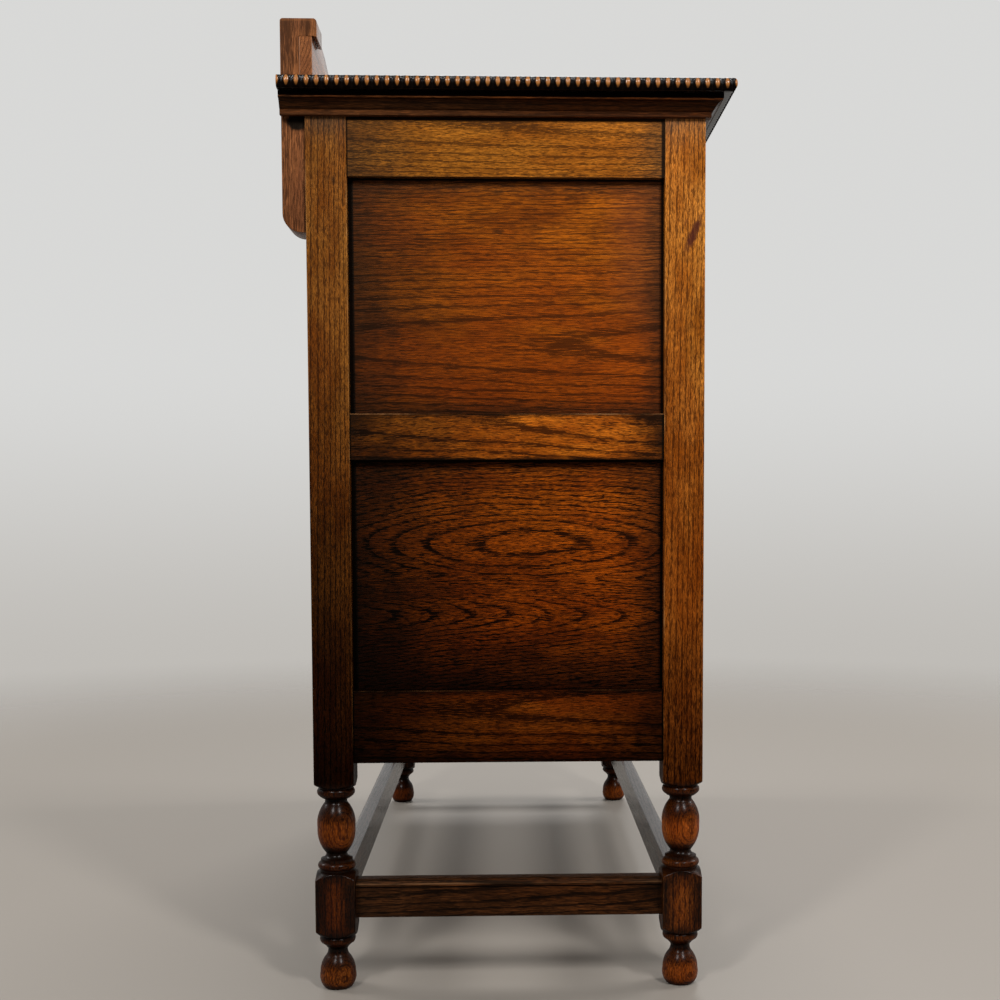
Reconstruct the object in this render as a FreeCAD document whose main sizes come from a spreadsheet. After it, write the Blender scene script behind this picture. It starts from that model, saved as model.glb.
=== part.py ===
import FreeCAD, Part
import math
import os
import re

# Court cupboard. +Z up, front towards -Y, origin on the floor under the middle of the top.
# "depth in" from an end or from the front is measured from the outer faces of the posts.

sizes = {
    # the frame of posts
    "carcass_width": 1082, "carcass_depth": 430, "post_section": 44,
    "top_height": 990, "top_thickness": 18, "core_overhang": 17,
    "rear_overhang": 25.5,
    # turned legs
    "shaft_end": 229, "block_top": 132.5, "block_base": 61.5,
    "shaft_shoulder": 5, "block_shoulder": 7,
    "foot_base_radius": 15, "foot_radius": 19.8, "ankle_radius": 10.9,
    "egg_radius": 21, "egg_neck_radius": 11.5, "collar_neck_radius": 12.4,
    "ring_radius": 21, "step_radius": 17.7, "lower_ring_radius": 19.9,
    "quirk_radius": 18.4,
    # rails and panels of the ends
    "rail_thickness": 22, "rail_setback": 1,
    "top_rail_height": 80, "mid_rail_base": 589.5, "mid_rail_height": 50,
    "carcass_base": 257, "bottom_rail_height": 80,
    "panel_inset": 11, "panel_thickness": 8, "panel_tongue": 6, "panel_groove": 7,
    "tenon_length": 22, "tenon_shoulder": 8, "mortise_spare": 2,
    # stretchers
    "stretcher_base": 81, "stretcher_height": 42.5, "stretcher_thickness": 20,
    "stretcher_round": 6, "stretcher_tenon": 12, "stretcher_tenon_inset": 6,
    # front rails, divider and muntin
    "thin_rail_height": 20, "drawer_opening_height": 132,
    "front_tenon_inset": 7, "thin_tenon_shoulder": 3,
    "muntin_width": 40, "muntin_lip_width": 60, "muntin_lip_thickness": 11.7,
    "stub_tenon": 7, "stub_tenon_inset": 8,
    # back, boards
    "rear_rail_height": 40, "back_thickness": 6, "back_rebate": 10,
    "board_thickness": 12, "bottom_board_rise": 53, "shelf_rise": 18.5,
    "board_housing": 6, "shelf_front_inset": 45,
    # running clearances
    "door_gap": 1.5, "body_gap": 0.3, "overrun": 5,
    # drawers
    "drawer_front_thickness": 20, "drawer_side_thickness": 11,
    "drawer_side_height": 127.5, "drawer_lap": 12,
    "drawer_back_inset": 5, "drawer_back_thickness": 11, "drawer_back_height": 104,
    "drawer_bottom_thickness": 5, "drawer_bottom_rise": 10, "drawer_bottom_housing": 5,
    "runner_width": 20, "runner_height": 18, "guide_width": 12, "guide_height": 15,
    # doors
    "door_thickness": 20, "stile_width": 62, "door_rail_height": 62,
    "door_tenon": 34, "door_panel_inset": 7, "door_panel_thickness": 8,
    "door_field_rise": 4, "door_field_margin": 34, "door_bevel_margin": 8,
    # butt hinges
    "hinge_length": 50, "hinge_leaf_thickness": 1.2, "hinge_leaf_width": 17,
    "hinge_inset": 60, "knuckle_radius": 2.8, "knuckle_standoff": 0.2,
    "hinge_pin_radius": 1.3, "hinge_bore_clearance": 0.05, "knuckle_gap": 0.3,
    # drop handles
    "plate_radius": 17, "plate_thickness": 2, "plate_rim": 1,
    "stalk_radius": 2.5, "stalk_reach": 10, "ball_radius": 4,
    "drop_pin_radius": 1.2, "drop_pin_clearance": 0.05,
    "yoke_gap": 0.3, "yoke_cheek": 1.6, "yoke_eye_radius": 3.4, "yoke_bridge": 6,
    "drop_length": 42, "drop_radius": 7.5, "drop_neck_radius": 2.6, "drop_tip_radius": 3,
    "door_handle_inset": 31, "door_handle_drop": 200,
    # edge moulding and cornice
    "edge_thickness": 13, "edge_core_reach": 10.1, "bead_pitch": 10.4,
    "bead_rise": 2.4, "bead_height": 8.6, "bead_drop": 1.4, "edge_foot_reach": 7,
    "cornice_height": 17.5, "cornice_reach": 16.3, "cornice_foot_reach": 5.4,
    "cornice_band": 6, "cornice_fillet": 1.4,
    # gallery
    "bracket_inset": 5, "bracket_width": 46, "bracket_drop": 156.5, "bracket_round": 20,
    "bracket_tongue": 20, "head_height": 18, "head_rise": 48, "head_depth": 39,
    "head_round": 2, "gallery_thickness": 14, "gallery_shoulder": 60,
    "gallery_dip": 38, "gallery_crest": 80,
}

document = FreeCAD.newDocument("court_cupboard")
sheet = document.addObject("Spreadsheet::Sheet", "Sizes")
for row, (alias, number) in enumerate(sizes.items(), start=1):
    sheet.set(f"A{row}", alias)
    sheet.set(f"B{row}", str(number))
    sheet.setAlias(f"B{row}", alias)
document.recompute()

nodes = []

# places that many pieces share, written in the named sizes
half_width = "(carcass_width / 2)"
front_overhang = "(core_overhang + edge_core_reach + bead_rise)"
front_face = f"(({front_overhang} - rear_overhang - carcass_depth) / 2)"
rear_edge = f"(({front_overhang} + rear_overhang + carcass_depth) / 2)"
post_top = "(top_height - top_thickness)"
mid_rail_top = "(mid_rail_base + mid_rail_height)"
bottom_rail_top = "(carcass_base + bottom_rail_height)"
bottom_board_base = "(carcass_base + bottom_board_rise)"
shelf_base = "(mid_rail_base + shelf_rise)"
top_rail_base = f"({post_top} - top_rail_height)"
drawer_top = f"({post_top} - thin_rail_height)"
runner_top = f"({drawer_top} - drawer_opening_height)"
drawer_rail_base = f"({runner_top} - thin_rail_height)"
rear_rail_rear = "(carcass_depth - back_thickness)"
rear_rail_front = f"({rear_rail_rear} - rail_thickness)"
stretcher_inset = "((post_section - stretcher_thickness) / 2)"
door_inner = f"({half_width} - muntin_width / 2 - door_gap)"
door_outer = "(post_section + door_gap)"


def bound(text):
    """An expression on the sheet from plain size names."""
    return re.sub(r"[a-z_]+", lambda word: "Sizes." + word.group(), text)


def value(text):
    """The number that an expression in size names has now."""
    numbers = re.sub(r"[a-z_]+", lambda word: repr(float(sheet.get(word.group()))), text)
    total = FreeCAD.Units.Quantity(numbers)
    return float(total.Value)


def from_end(end, near, far):
    """X range between two depths in from an end."""
    if end == "left":
        return (f"{near} - {half_width}", f"{far} - {half_width}")
    return (f"{half_width} - ({far})", f"{half_width} - ({near})")


def from_front(near, far):
    """Y range between two depths in from the front."""
    return (f"{front_face} + {near}", f"{front_face} + {far}")


def across(near):
    """X range that stops the same depth in from both ends."""
    return (f"{near} - {half_width}", f"{half_width} - ({near})")


def slab(name, x_range, y_range, z_range):
    """A box between named places."""
    box = document.addObject("Part::Box", name)
    ranges = zip(("Length", "Width", "Height"), "xyz", (x_range, y_range, z_range))
    for side, axis, (low, high) in ranges:
        box.setExpression(side, bound(f"({high}) - ({low})"))
        box.setExpression(f"Placement.Base.{axis}", bound(low))
    return box


def joined(name, pieces):
    if len(pieces) == 1:
        return pieces[0]
    union = document.addObject("Part::MultiFuse", name)
    union.Shapes = pieces
    return union


def cut(name, base, tools):
    if not tools:
        return base
    result = document.addObject("Part::Cut", name)
    result.Base = base
    result.Tool = joined(name + "_tools", tools)
    return result


def group(name, pieces):
    """Separate solids of one kind under one name."""
    result = document.addObject("Part::Compound", name)
    result.Links = pieces
    return result


def solid(name, shape, x="0", y="0", z="0"):
    """A shape made in code, placed by the sheet."""
    feature = document.addObject("Part::Feature", name)
    feature.Shape = shape
    for axis, place in zip("xyz", (x, y, z)):
        feature.setExpression(f"Placement.Base.{axis}", bound(place))
    return feature


def node(piece, label):
    piece.Label = label
    nodes.append(piece)
    return piece


def vector(x, y, z):
    return FreeCAD.Vector(x, y, z)


def arc(start, middle, end):
    return Part.Arc(start, middle, end).toShape()


def line(start, end):
    return Part.LineSegment(start, end).toShape()


def outline(steps, place):
    """Closed wire: each step is (point) for a line or (middle, point) for an arc."""
    start = place(*steps[0])
    edges = []
    last = start
    for step in steps[1:]:
        if len(step) == 4:
            middle = place(step[0], step[1])
            after = place(step[2], step[3])
            edges.append(arc(last, middle, after))
        else:
            after = place(*step)
            edges.append(line(last, after))
        last = after
    edges.append(line(last, start))
    return Part.Wire(edges)


# Turned outlines: "to" ends a stretch and "through" bends it. Each point lies at a share
# of the way from one radius to the other, and at a share of the turning's height.
foot_turning_shares = [
    ("to", "foot_base_radius", "foot_radius", 0, 0),
    ("through", "foot_base_radius", "foot_radius", 0.86, 0.10),
    ("to", "foot_base_radius", "foot_radius", 1, 0.29),
    ("through", "ankle_radius", "foot_radius", 0.80, 0.46),
    ("to", "ankle_radius", "foot_radius", 0.30, 0.59),
    ("through", "ankle_radius", "foot_radius", 0.04, 0.66),
    ("to", "ankle_radius", "foot_radius", 0, 0.73),
    ("through", "ankle_radius", "lower_ring_radius", 0.35, 0.79),
    ("to", "ankle_radius", "lower_ring_radius", 0.86, 0.85),
    ("through", "quirk_radius", "lower_ring_radius", 1, 0.90),
    ("to", "quirk_radius", "lower_ring_radius", 0.60, 0.955),
    ("to", "quirk_radius", "lower_ring_radius", 0, 0.97),
    ("to", "quirk_radius", "lower_ring_radius", 0, 0.985),
]
collar_turning_shares = [
    ("to", "quirk_radius", "ring_radius", 0, 0.012),
    ("to", "quirk_radius", "ring_radius", 0, 0.03),
    ("through", "quirk_radius", "ring_radius", 1, 0.07),
    ("to", "quirk_radius", "ring_radius", 0, 0.115),
    ("to", "egg_neck_radius", "step_radius", 1, 0.12),
    ("to", "egg_neck_radius", "step_radius", 1, 0.15),
    ("to", "egg_neck_radius", "step_radius", 0.86, 0.155),
    ("through", "egg_neck_radius", "step_radius", 0.28, 0.175),
    ("to", "egg_neck_radius", "step_radius", 0, 0.215),
    ("through", "egg_neck_radius", "egg_radius", 0.72, 0.33),
    ("to", "egg_neck_radius", "egg_radius", 1, 0.51),
    ("through", "collar_neck_radius", "egg_radius", 0.74, 0.70),
    ("to", "collar_neck_radius", "egg_radius", 0, 0.81),
    ("to", "collar_neck_radius", "ring_radius", 0, 0.845),
    ("through", "collar_neck_radius", "ring_radius", 0.45, 0.865),
    ("to", "collar_neck_radius", "ring_radius", 0.90, 0.90),
    ("through", "quirk_radius", "ring_radius", 1, 0.935),
    ("to", "quirk_radius", "ring_radius", 0.60, 0.965),
    ("to", "quirk_radius", "ring_radius", 0, 0.975),
    ("to", "quirk_radius", "ring_radius", 0, 0.985),
]


def turned_steps(shares, base, top):
    """Outline steps of one turning between two heights."""
    steps = []
    bend = ()
    for kind, small_name, large_name, radius_share, height_share in shares:
        small = value(small_name)
        radius = small + (value(large_name) - small) * radius_share
        point = (radius, base + (top - base) * height_share)
        if kind == "through":
            bend = point
        else:
            steps.append(bend + point)
            bend = ()
    return steps


def turned_leg():
    """The leg spun about its axis. Between the turnings it is wider than the square, which
    trims it, and its coned shoulders give the square its arched ends."""
    block_base = value("block_base")
    block_top = value("block_top")
    shaft_end = value("shaft_end")
    top = value(f"{post_top} + overrun")
    face = value("post_section / 2")
    corner = face * math.sqrt(2)
    clear = corner + value("overrun")
    spread = (clear - face) / (corner - face)
    block_rise = value("block_shoulder") * spread
    shaft_rise = value("shaft_shoulder") * spread
    steps = [(0, 0)]
    steps += turned_steps(foot_turning_shares, 0, block_base)
    steps += [(face, block_base), (clear, block_base + block_rise)]
    steps += [(clear, block_top - block_rise), (face, block_top)]
    steps += turned_steps(collar_turning_shares, block_top, shaft_end)
    steps += [(face, shaft_end), (clear, shaft_end + shaft_rise), (clear, top), (0, top)]
    wire = outline(steps, lambda radius, height: vector(radius, 0, height))
    return Part.Face(wire).revolve(vector(0, 0, 0), vector(0, 0, 1), 360)


def rail_heights():
    """Base and top of the three rails of an end."""
    return {
        "bottom": ("carcass_base", bottom_rail_top),
        "mid": ("mid_rail_base", mid_rail_top),
        "top": (top_rail_base, post_top),
    }


def front_rail_heights():
    return {
        "front_bottom_rail": ("carcass_base", bottom_rail_top, "tenon_shoulder"),
        "drawer_rail": (drawer_rail_base, runner_top, "thin_tenon_shoulder"),
        "front_top_rail": (drawer_top, post_top, "thin_tenon_shoulder"),
    }


def rear_rail_heights():
    return [
        (f"{bottom_board_base} - rear_rail_height", bottom_board_base),
        (f"{runner_top} - rear_rail_height", runner_top),
        (f"{post_top} - rear_rail_height", post_top),
    ]


panel_depths = ("panel_inset", "panel_inset + panel_thickness")
front_tenon_depths = ("(rail_setback + front_tenon_inset)",
                      "(rail_setback + front_tenon_inset + panel_thickness)")
rear_tenon_depths = (f"({rear_rail_front} + front_tenon_inset)",
                     f"({rear_rail_front} + front_tenon_inset + panel_thickness)")


def post_tools(end, side, name):
    """Mortises, panel grooves and rebates of one post."""
    tools = []
    inner = "post_section" if side == "front" else "(carcass_depth - post_section)"
    inward = 1 if side == "front" else -1

    def along(start, length):
        """Y range from the inner face into the post."""
        if inward == 1:
            return from_front(f"{inner} - ({length})", f"{inner} + {start}")
        return from_front(f"{inner} - {start}", f"{inner} + {length}")

    heights = rail_heights()
    for rail, (low, high) in heights.items():
        tools.append(slab(f"{name}_{rail}_mortise", from_end(end, *panel_depths),
                          along("overrun", "tenon_length + mortise_spare"),
                          (f"{low} + tenon_shoulder", f"{high} - tenon_shoulder")))
    for lower, upper in (("bottom", "mid"), ("mid", "top")):
        tools.append(slab(f"{name}_{lower}_groove", from_end(end, *panel_depths),
                          along("overrun", "panel_groove"),
                          (f"{heights[lower][1]} - panel_groove",
                           f"{heights[upper][0]} + panel_groove")))
    inner_x = ("post_section - tenon_length - mortise_spare", "post_section + overrun")
    if side == "front":
        for rail, (low, high, shoulder) in front_rail_heights().items():
            tools.append(slab(f"{name}_{rail}_mortise", from_end(end, *inner_x),
                              from_front(*front_tenon_depths),
                              (f"{low} + {shoulder}", f"{high} - {shoulder}")))
        for index, (low, high) in enumerate(hinge_heights()):
            tools.append(slab(f"{name}_hinge_bed_{index}",
                              from_end(end, "post_section - hinge_leaf_thickness",
                                       "post_section + overrun"),
                              from_front("(0 - overrun)", "hinge_leaf_width"), (low, high)))
    else:
        for index, (low, high) in enumerate(rear_rail_heights()):
            tools.append(slab(f"{name}_rear_mortise_{index}", from_end(end, *inner_x),
                              from_front(*rear_tenon_depths),
                              (f"{low} + tenon_shoulder", f"{high} - tenon_shoulder")))
        tools.append(slab(f"{name}_rebate",
                          from_end(end, "post_section - back_rebate",
                                   "post_section + overrun"),
                          from_front(rear_rail_rear, "carcass_depth + overrun"),
                          ("carcass_base", f"{post_top} + overrun")))
    stretcher_z = ("stretcher_base + tenon_shoulder",
                   "stretcher_base + stretcher_height - tenon_shoulder")
    tongue = (f"{stretcher_inset} + stretcher_tenon_inset",
              f"post_section - {stretcher_inset} - stretcher_tenon_inset")
    tools.append(slab(f"{name}_side_stretcher_mortise", from_end(end, *tongue),
                      along("overrun", "stretcher_tenon"), stretcher_z))
    if side == "front":
        tongue_y = from_front(*tongue)
    else:
        tongue_y = from_front(f"carcass_depth - ({tongue[1]})",
                              f"carcass_depth - ({tongue[0]})")
    tools.append(slab(f"{name}_long_stretcher_mortise",
                      from_end(end, "post_section - stretcher_tenon",
                               "post_section + overrun"),
                      tongue_y, stretcher_z))
    return tools


def post(end, side, turning):
    name = f"{side}_{end}_post"
    if side == "front":
        y_range = from_front("0", "post_section")
        middle = f"{front_face} + post_section / 2"
    else:
        y_range = from_front("(carcass_depth - post_section)", "carcass_depth")
        middle = f"{front_face} + carcass_depth - post_section / 2"
    square = slab(f"{name}_square", from_end(end, "0", "post_section"), y_range,
                  ("0", post_top))
    if end == "left":
        centre = f"post_section / 2 - {half_width}"
    else:
        centre = f"{half_width} - post_section / 2"
    turned = solid(f"{name}_turning", turning, x=centre, y=middle)
    blank = document.addObject("Part::MultiCommon", f"{name}_blank")
    blank.Shapes = [square, turned]
    node(cut(name, blank, post_tools(end, side, name)), name)


def side_rail(end, rail):
    """Rail of an end with a tenon into each post and grooves for the panels."""
    name = f"{end}_{rail}_rail"
    low, high = rail_heights()[rail]
    depths = from_end(end, "rail_setback", "rail_setback + rail_thickness")
    length = ("post_section", "(carcass_depth - post_section)")
    bar = slab(f"{name}_bar", depths, from_front(*length), (low, high))
    tenon = slab(f"{name}_tenon", from_end(end, *panel_depths),
                 from_front(f"{length[0]} - tenon_length", f"{length[1]} + tenon_length"),
                 (f"{low} + tenon_shoulder", f"{high} - tenon_shoulder"))
    tools = []
    groove_y = from_front(*length)
    if rail != "bottom":
        tools.append(slab(f"{name}_lower_groove", from_end(end, *panel_depths), groove_y,
                          (f"{low} - overrun", f"{low} + panel_groove")))
    if rail != "top":
        tools.append(slab(f"{name}_upper_groove", from_end(end, *panel_depths), groove_y,
                          (f"{high} - panel_groove", f"{high} + overrun")))
    housing = {"bottom": bottom_board_base, "mid": shelf_base}
    if rail in housing:
        base = housing[rail]
        tools.append(slab(f"{name}_housing",
                          from_end(end, "rail_setback + rail_thickness - board_housing",
                                   "rail_setback + rail_thickness + overrun"),
                          groove_y, (base, f"{base} + board_thickness")))
    node(cut(name, joined(f"{name}_blank", [bar, tenon]), tools), name)


def side_panel(end, level):
    """Plain panel, loose in the grooves round it."""
    heights = rail_heights()
    lower, upper = ("mid", "top") if level == "upper" else ("bottom", "mid")
    node(slab(f"{end}_{level}_panel", from_end(end, *panel_depths),
              from_front("post_section - panel_tongue",
                         "carcass_depth - post_section + panel_tongue"),
              (f"{heights[lower][1]} - panel_tongue",
               f"{heights[upper][0]} + panel_tongue")),
         f"{end}_{level}_panel")


def rounded(name, bar, edge_test):
    """The bar with its upper outer edge worked to an ovolo."""
    document.recompute()
    worked = document.addObject("Part::Fillet", name)
    worked.Base = bar
    picked = [index for index, edge in enumerate(bar.Shape.Edges, start=1)
              if edge_test(edge.BoundBox)]
    radius = value("stretcher_round")
    worked.Edges = [(index, radius, radius) for index in picked]
    return worked


def stretcher(name, x_range, y_range, outer_axis, outer_place):
    """Stretcher bar with a stub tenon at each end."""
    z_range = ("stretcher_base", "stretcher_base + stretcher_height")
    bar = slab(f"{name}_bar", x_range, y_range, z_range)
    top = value(z_range[1])
    outer = value(outer_place)
    near = value("body_gap")

    def is_outer_top_edge(box):
        low = box.XMin if outer_axis == "x" else box.YMin
        high = box.XMax if outer_axis == "x" else box.YMax
        on_outer = abs(low - outer) < near and abs(high - outer) < near
        return on_outer and abs(box.ZMin - top) < near and abs(box.ZMax - top) < near

    worked = rounded(f"{name}_worked", bar, is_outer_top_edge)
    inset = "stretcher_tenon_inset"
    if outer_axis == "x":
        tenon_x = (f"{x_range[0]} + {inset}", f"{x_range[1]} - {inset}")
        tenon_y = (f"{y_range[0]} - stretcher_tenon", f"{y_range[1]} + stretcher_tenon")
    else:
        tenon_x = (f"{x_range[0]} - stretcher_tenon", f"{x_range[1]} + stretcher_tenon")
        tenon_y = (f"{y_range[0]} + {inset}", f"{y_range[1]} - {inset}")
    tenon = slab(f"{name}_tenon", tenon_x, tenon_y,
                 (f"{z_range[0]} + tenon_shoulder", f"{z_range[1]} - tenon_shoulder"))
    node(joined(name, [worked, tenon]), name)


def stretchers():
    near = stretcher_inset
    far = f"({stretcher_inset} + stretcher_thickness)"
    for end in ("left", "right"):
        x_range = from_end(end, near, far)
        stretcher(f"{end}_stretcher", x_range,
                  from_front("post_section", "(carcass_depth - post_section)"),
                  "x", x_range[0] if end == "left" else x_range[1])
    front = from_front(near, far)
    stretcher("front_stretcher", across("post_section"), front, "y", front[0])
    rear = from_front(f"(carcass_depth - {far})", f"(carcass_depth - {near})")
    stretcher("rear_stretcher", across("post_section"), rear, "y", rear[1])


def stub(name, half, z_range):
    """Stub tenon or mortise in the middle of the front."""
    return slab(name, (f"0 - {half}", half), from_front(*front_tenon_depths), z_range)


def front_rails():
    divider_half = "(muntin_width / 2 - stub_tenon_inset)"
    for name, (low, high, shoulder) in front_rail_heights().items():
        bar = slab(f"{name}_bar", across("post_section"),
                   from_front("rail_setback", "rail_setback + rail_thickness"), (low, high))
        tenon = slab(f"{name}_tenon", across("(post_section - tenon_length)"),
                     from_front(*front_tenon_depths),
                     (f"{low} + {shoulder}", f"{high} - {shoulder}"))
        tools = []
        if name != "front_top_rail":
            tools.append(stub(f"{name}_upper_mortise", divider_half,
                              (f"{high} - stub_tenon", f"{high} + overrun")))
        if name != "front_bottom_rail":
            tools.append(stub(f"{name}_lower_mortise", divider_half,
                              (f"{low} - overrun", f"{low} + stub_tenon")))
        else:
            tools.append(slab(f"{name}_housing", across("post_section"),
                              from_front("rail_setback + rail_thickness - board_housing",
                                         "rail_setback + rail_thickness + overrun"),
                              (bottom_board_base, f"{bottom_board_base} + board_thickness")))
        node(cut(name, joined(f"{name}_blank", [bar, tenon]), tools), name)
    half = "(muntin_width / 2)"
    divider = slab("drawer_divider_bar", (f"0 - {half}", half),
                   from_front("rail_setback", "rail_setback + rail_thickness"),
                   (runner_top, drawer_top))
    divider_stub = stub("drawer_divider_stub", divider_half,
                        (f"{runner_top} - stub_tenon", f"{drawer_top} + stub_tenon"))
    node(joined("drawer_divider", [divider, divider_stub]), "drawer_divider")
    door_rear = "(rail_setback + door_thickness + body_gap)"
    muntin = slab("door_muntin_bar", (f"0 - {half}", half),
                  from_front("rail_setback", f"{door_rear} + muntin_lip_thickness"),
                  (bottom_rail_top, drawer_rail_base))
    lip_half = "(muntin_lip_width / 2)"
    lip = slab("door_muntin_lip", (f"0 - {lip_half}", lip_half),
               from_front(door_rear, f"{door_rear} + muntin_lip_thickness"),
               (bottom_rail_top, drawer_rail_base))
    muntin_stub = stub("door_muntin_stub", divider_half,
                       (f"{bottom_rail_top} - stub_tenon", f"{drawer_rail_base} + stub_tenon"))
    node(joined("door_muntin", [muntin, lip, muntin_stub]), "door_muntin")


def back_and_boards():
    rails = []
    for index, (low, high) in enumerate(rear_rail_heights()):
        bar = slab(f"rear_rail_{index}_bar", across("post_section"),
                   from_front(rear_rail_front, rear_rail_rear), (low, high))
        tenon = slab(f"rear_rail_{index}_tenon", across("(post_section - tenon_length)"),
                     from_front(*rear_tenon_depths),
                     (f"{low} + tenon_shoulder", f"{high} - tenon_shoulder"))
        rails.append(joined(f"rear_rail_{index}", [bar, tenon]))
    node(group("rear_rails", rails), "rear_rails")
    node(slab("back_panel", across("(post_section - back_rebate)"),
              from_front(rear_rail_rear, "carcass_depth"), ("carcass_base", post_top)),
         "back_panel")
    housed = "(rail_setback + rail_thickness - board_housing)"
    boards = {
        "bottom_board": (bottom_board_base, housed, rear_rail_rear),
        "shelf": (shelf_base, "shelf_front_inset", rear_rail_front),
    }
    for name, (base, front, rear) in boards.items():
        z_range = (base, f"{base} + board_thickness")
        z_cut = (f"{base} - overrun", f"{base} + board_thickness + overrun")
        board = slab(f"{name}_board", across(housed), from_front(front, rear), z_range)
        notches = []
        for end in ("left", "right"):
            notches.append(slab(f"{name}_{end}_rear_notch",
                                from_end(end, "0", "post_section"),
                                from_front("(carcass_depth - post_section)",
                                           "carcass_depth"), z_cut))
            if name == "bottom_board":
                notches.append(slab(f"{name}_{end}_front_notch",
                                    from_end(end, "0", "post_section"),
                                    from_front("0", "post_section"), z_cut))
        node(cut(name, board, notches), name)


def runners():
    """Bearers under the drawer sides, each with a lip that guides the drawer."""
    base = f"({runner_top} - runner_height)"
    y_bar = from_front("rail_setback + rail_thickness", rear_rail_front)
    y_lip = from_front("post_section", "(carcass_depth - post_section)")
    pieces = []
    for end in ("left", "right"):
        starts = {"outer": "post_section",
                  "inner": f"({half_width} - muntin_width / 2 - runner_width)"}
        for place, start in starts.items():
            name = f"{end}_{place}_runner"
            bar = slab(f"{name}_bar", from_end(end, start, f"{start} + runner_width"), y_bar,
                       (base, runner_top))
            if place == "outer":
                lip_x = ("(post_section - guide_width)", "post_section")
            else:
                lip_x = (f"{start} + runner_width", f"{start} + runner_width + guide_width")
            lip = slab(f"{name}_lip", from_end(end, *lip_x), y_lip,
                       (base, f"{runner_top} + guide_height"))
            pieces.append(joined(name, [bar, lip]))
    node(group("drawer_runners", pieces), "drawer_runners")


def drawer(end):
    """Lapped drawer: the sides run into rebates behind the front."""
    name = f"{end}_drawer"
    front_y = ("rail_setback", "(rail_setback + drawer_front_thickness)")
    lap_y = "(rail_setback + drawer_front_thickness - drawer_lap)"
    side_base = f"({runner_top} + body_gap)"
    bottom_base = f"({side_base} + drawer_bottom_rise)"
    bottom_top = f"({bottom_base} + drawer_bottom_thickness)"
    rear = f"({rear_rail_front} - body_gap)"
    back_rear = f"({rear} - drawer_back_inset)"
    outer_side = (door_outer, f"{door_outer} + drawer_side_thickness")
    inner_side = (f"{door_inner} - drawer_side_thickness", door_inner)
    between = (outer_side[1], inner_side[0])
    housed = (f"{between[0]} - drawer_bottom_housing", f"{between[1]} + drawer_bottom_housing")
    front = slab(f"{name}_front_board", from_end(end, door_outer, door_inner),
                 from_front(*front_y),
                 (f"{runner_top} + door_gap", f"{drawer_top} - door_gap"))
    rebates = []
    for index, span in enumerate((outer_side, inner_side)):
        wide = (f"{span[0]} - overrun", span[1]) if index == 0 else (span[0],
                                                                    f"{span[1]} + overrun")
        rebates.append(slab(f"{name}_rebate_{index}", from_end(end, *wide),
                            from_front(lap_y, f"{front_y[1]} + overrun"),
                            (f"{runner_top} - overrun", f"{drawer_top} + overrun")))
    rebates.append(slab(f"{name}_front_housing", from_end(end, *between),
                        from_front(f"{front_y[1]} - drawer_bottom_housing",
                                   f"{front_y[1]} + overrun"),
                        (bottom_base, bottom_top)))
    node(cut(f"{name}_front", front, rebates), f"{name}_front")
    sides = []
    for index, span in enumerate((outer_side, inner_side)):
        board = slab(f"{name}_side_{index}_board", from_end(end, *span),
                     from_front(lap_y, rear),
                     (side_base, f"{side_base} + drawer_side_height"))
        if index == 0:
            slot_x = (f"{span[1]} - drawer_bottom_housing", f"{span[1]} + overrun")
        else:
            slot_x = (f"{span[0]} - overrun", f"{span[0]} + drawer_bottom_housing")
        slot = slab(f"{name}_side_{index}_slot", from_end(end, *slot_x),
                    from_front(f"{front_y[1]} - drawer_bottom_housing", back_rear),
                    (bottom_base, bottom_top))
        sides.append(cut(f"{name}_side_{index}", board, [slot]))
    node(group(f"{name}_sides", sides), f"{name}_sides")
    node(slab(f"{name}_back", from_end(end, *between),
              from_front(f"{back_rear} - drawer_back_thickness", back_rear),
              (bottom_top, f"{bottom_top} + drawer_back_height")), f"{name}_back")
    base = slab(f"{name}_bottom_board", from_end(end, *housed),
                from_front(f"{front_y[1]} - drawer_bottom_housing", back_rear),
                (bottom_base, bottom_top))
    corner_cuts = []
    for index, span in enumerate(((housed[0], between[0]), (between[1], housed[1]))):
        corner_cuts.append(slab(f"{name}_bottom_corner_{index}", from_end(end, *span),
                                from_front(lap_y, front_y[1]),
                                (f"{bottom_base} - overrun", f"{bottom_top} + overrun")))
    node(cut(f"{name}_bottom", base, corner_cuts), f"{name}_bottom")


def hinge_heights():
    """Base and top of the two hinges of a door."""
    low = f"({bottom_rail_top} + hinge_inset)"
    high = f"({drawer_rail_base} - hinge_inset)"
    return [(low, f"{low} + hinge_length"), (f"{high} - hinge_length", high)]


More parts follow.
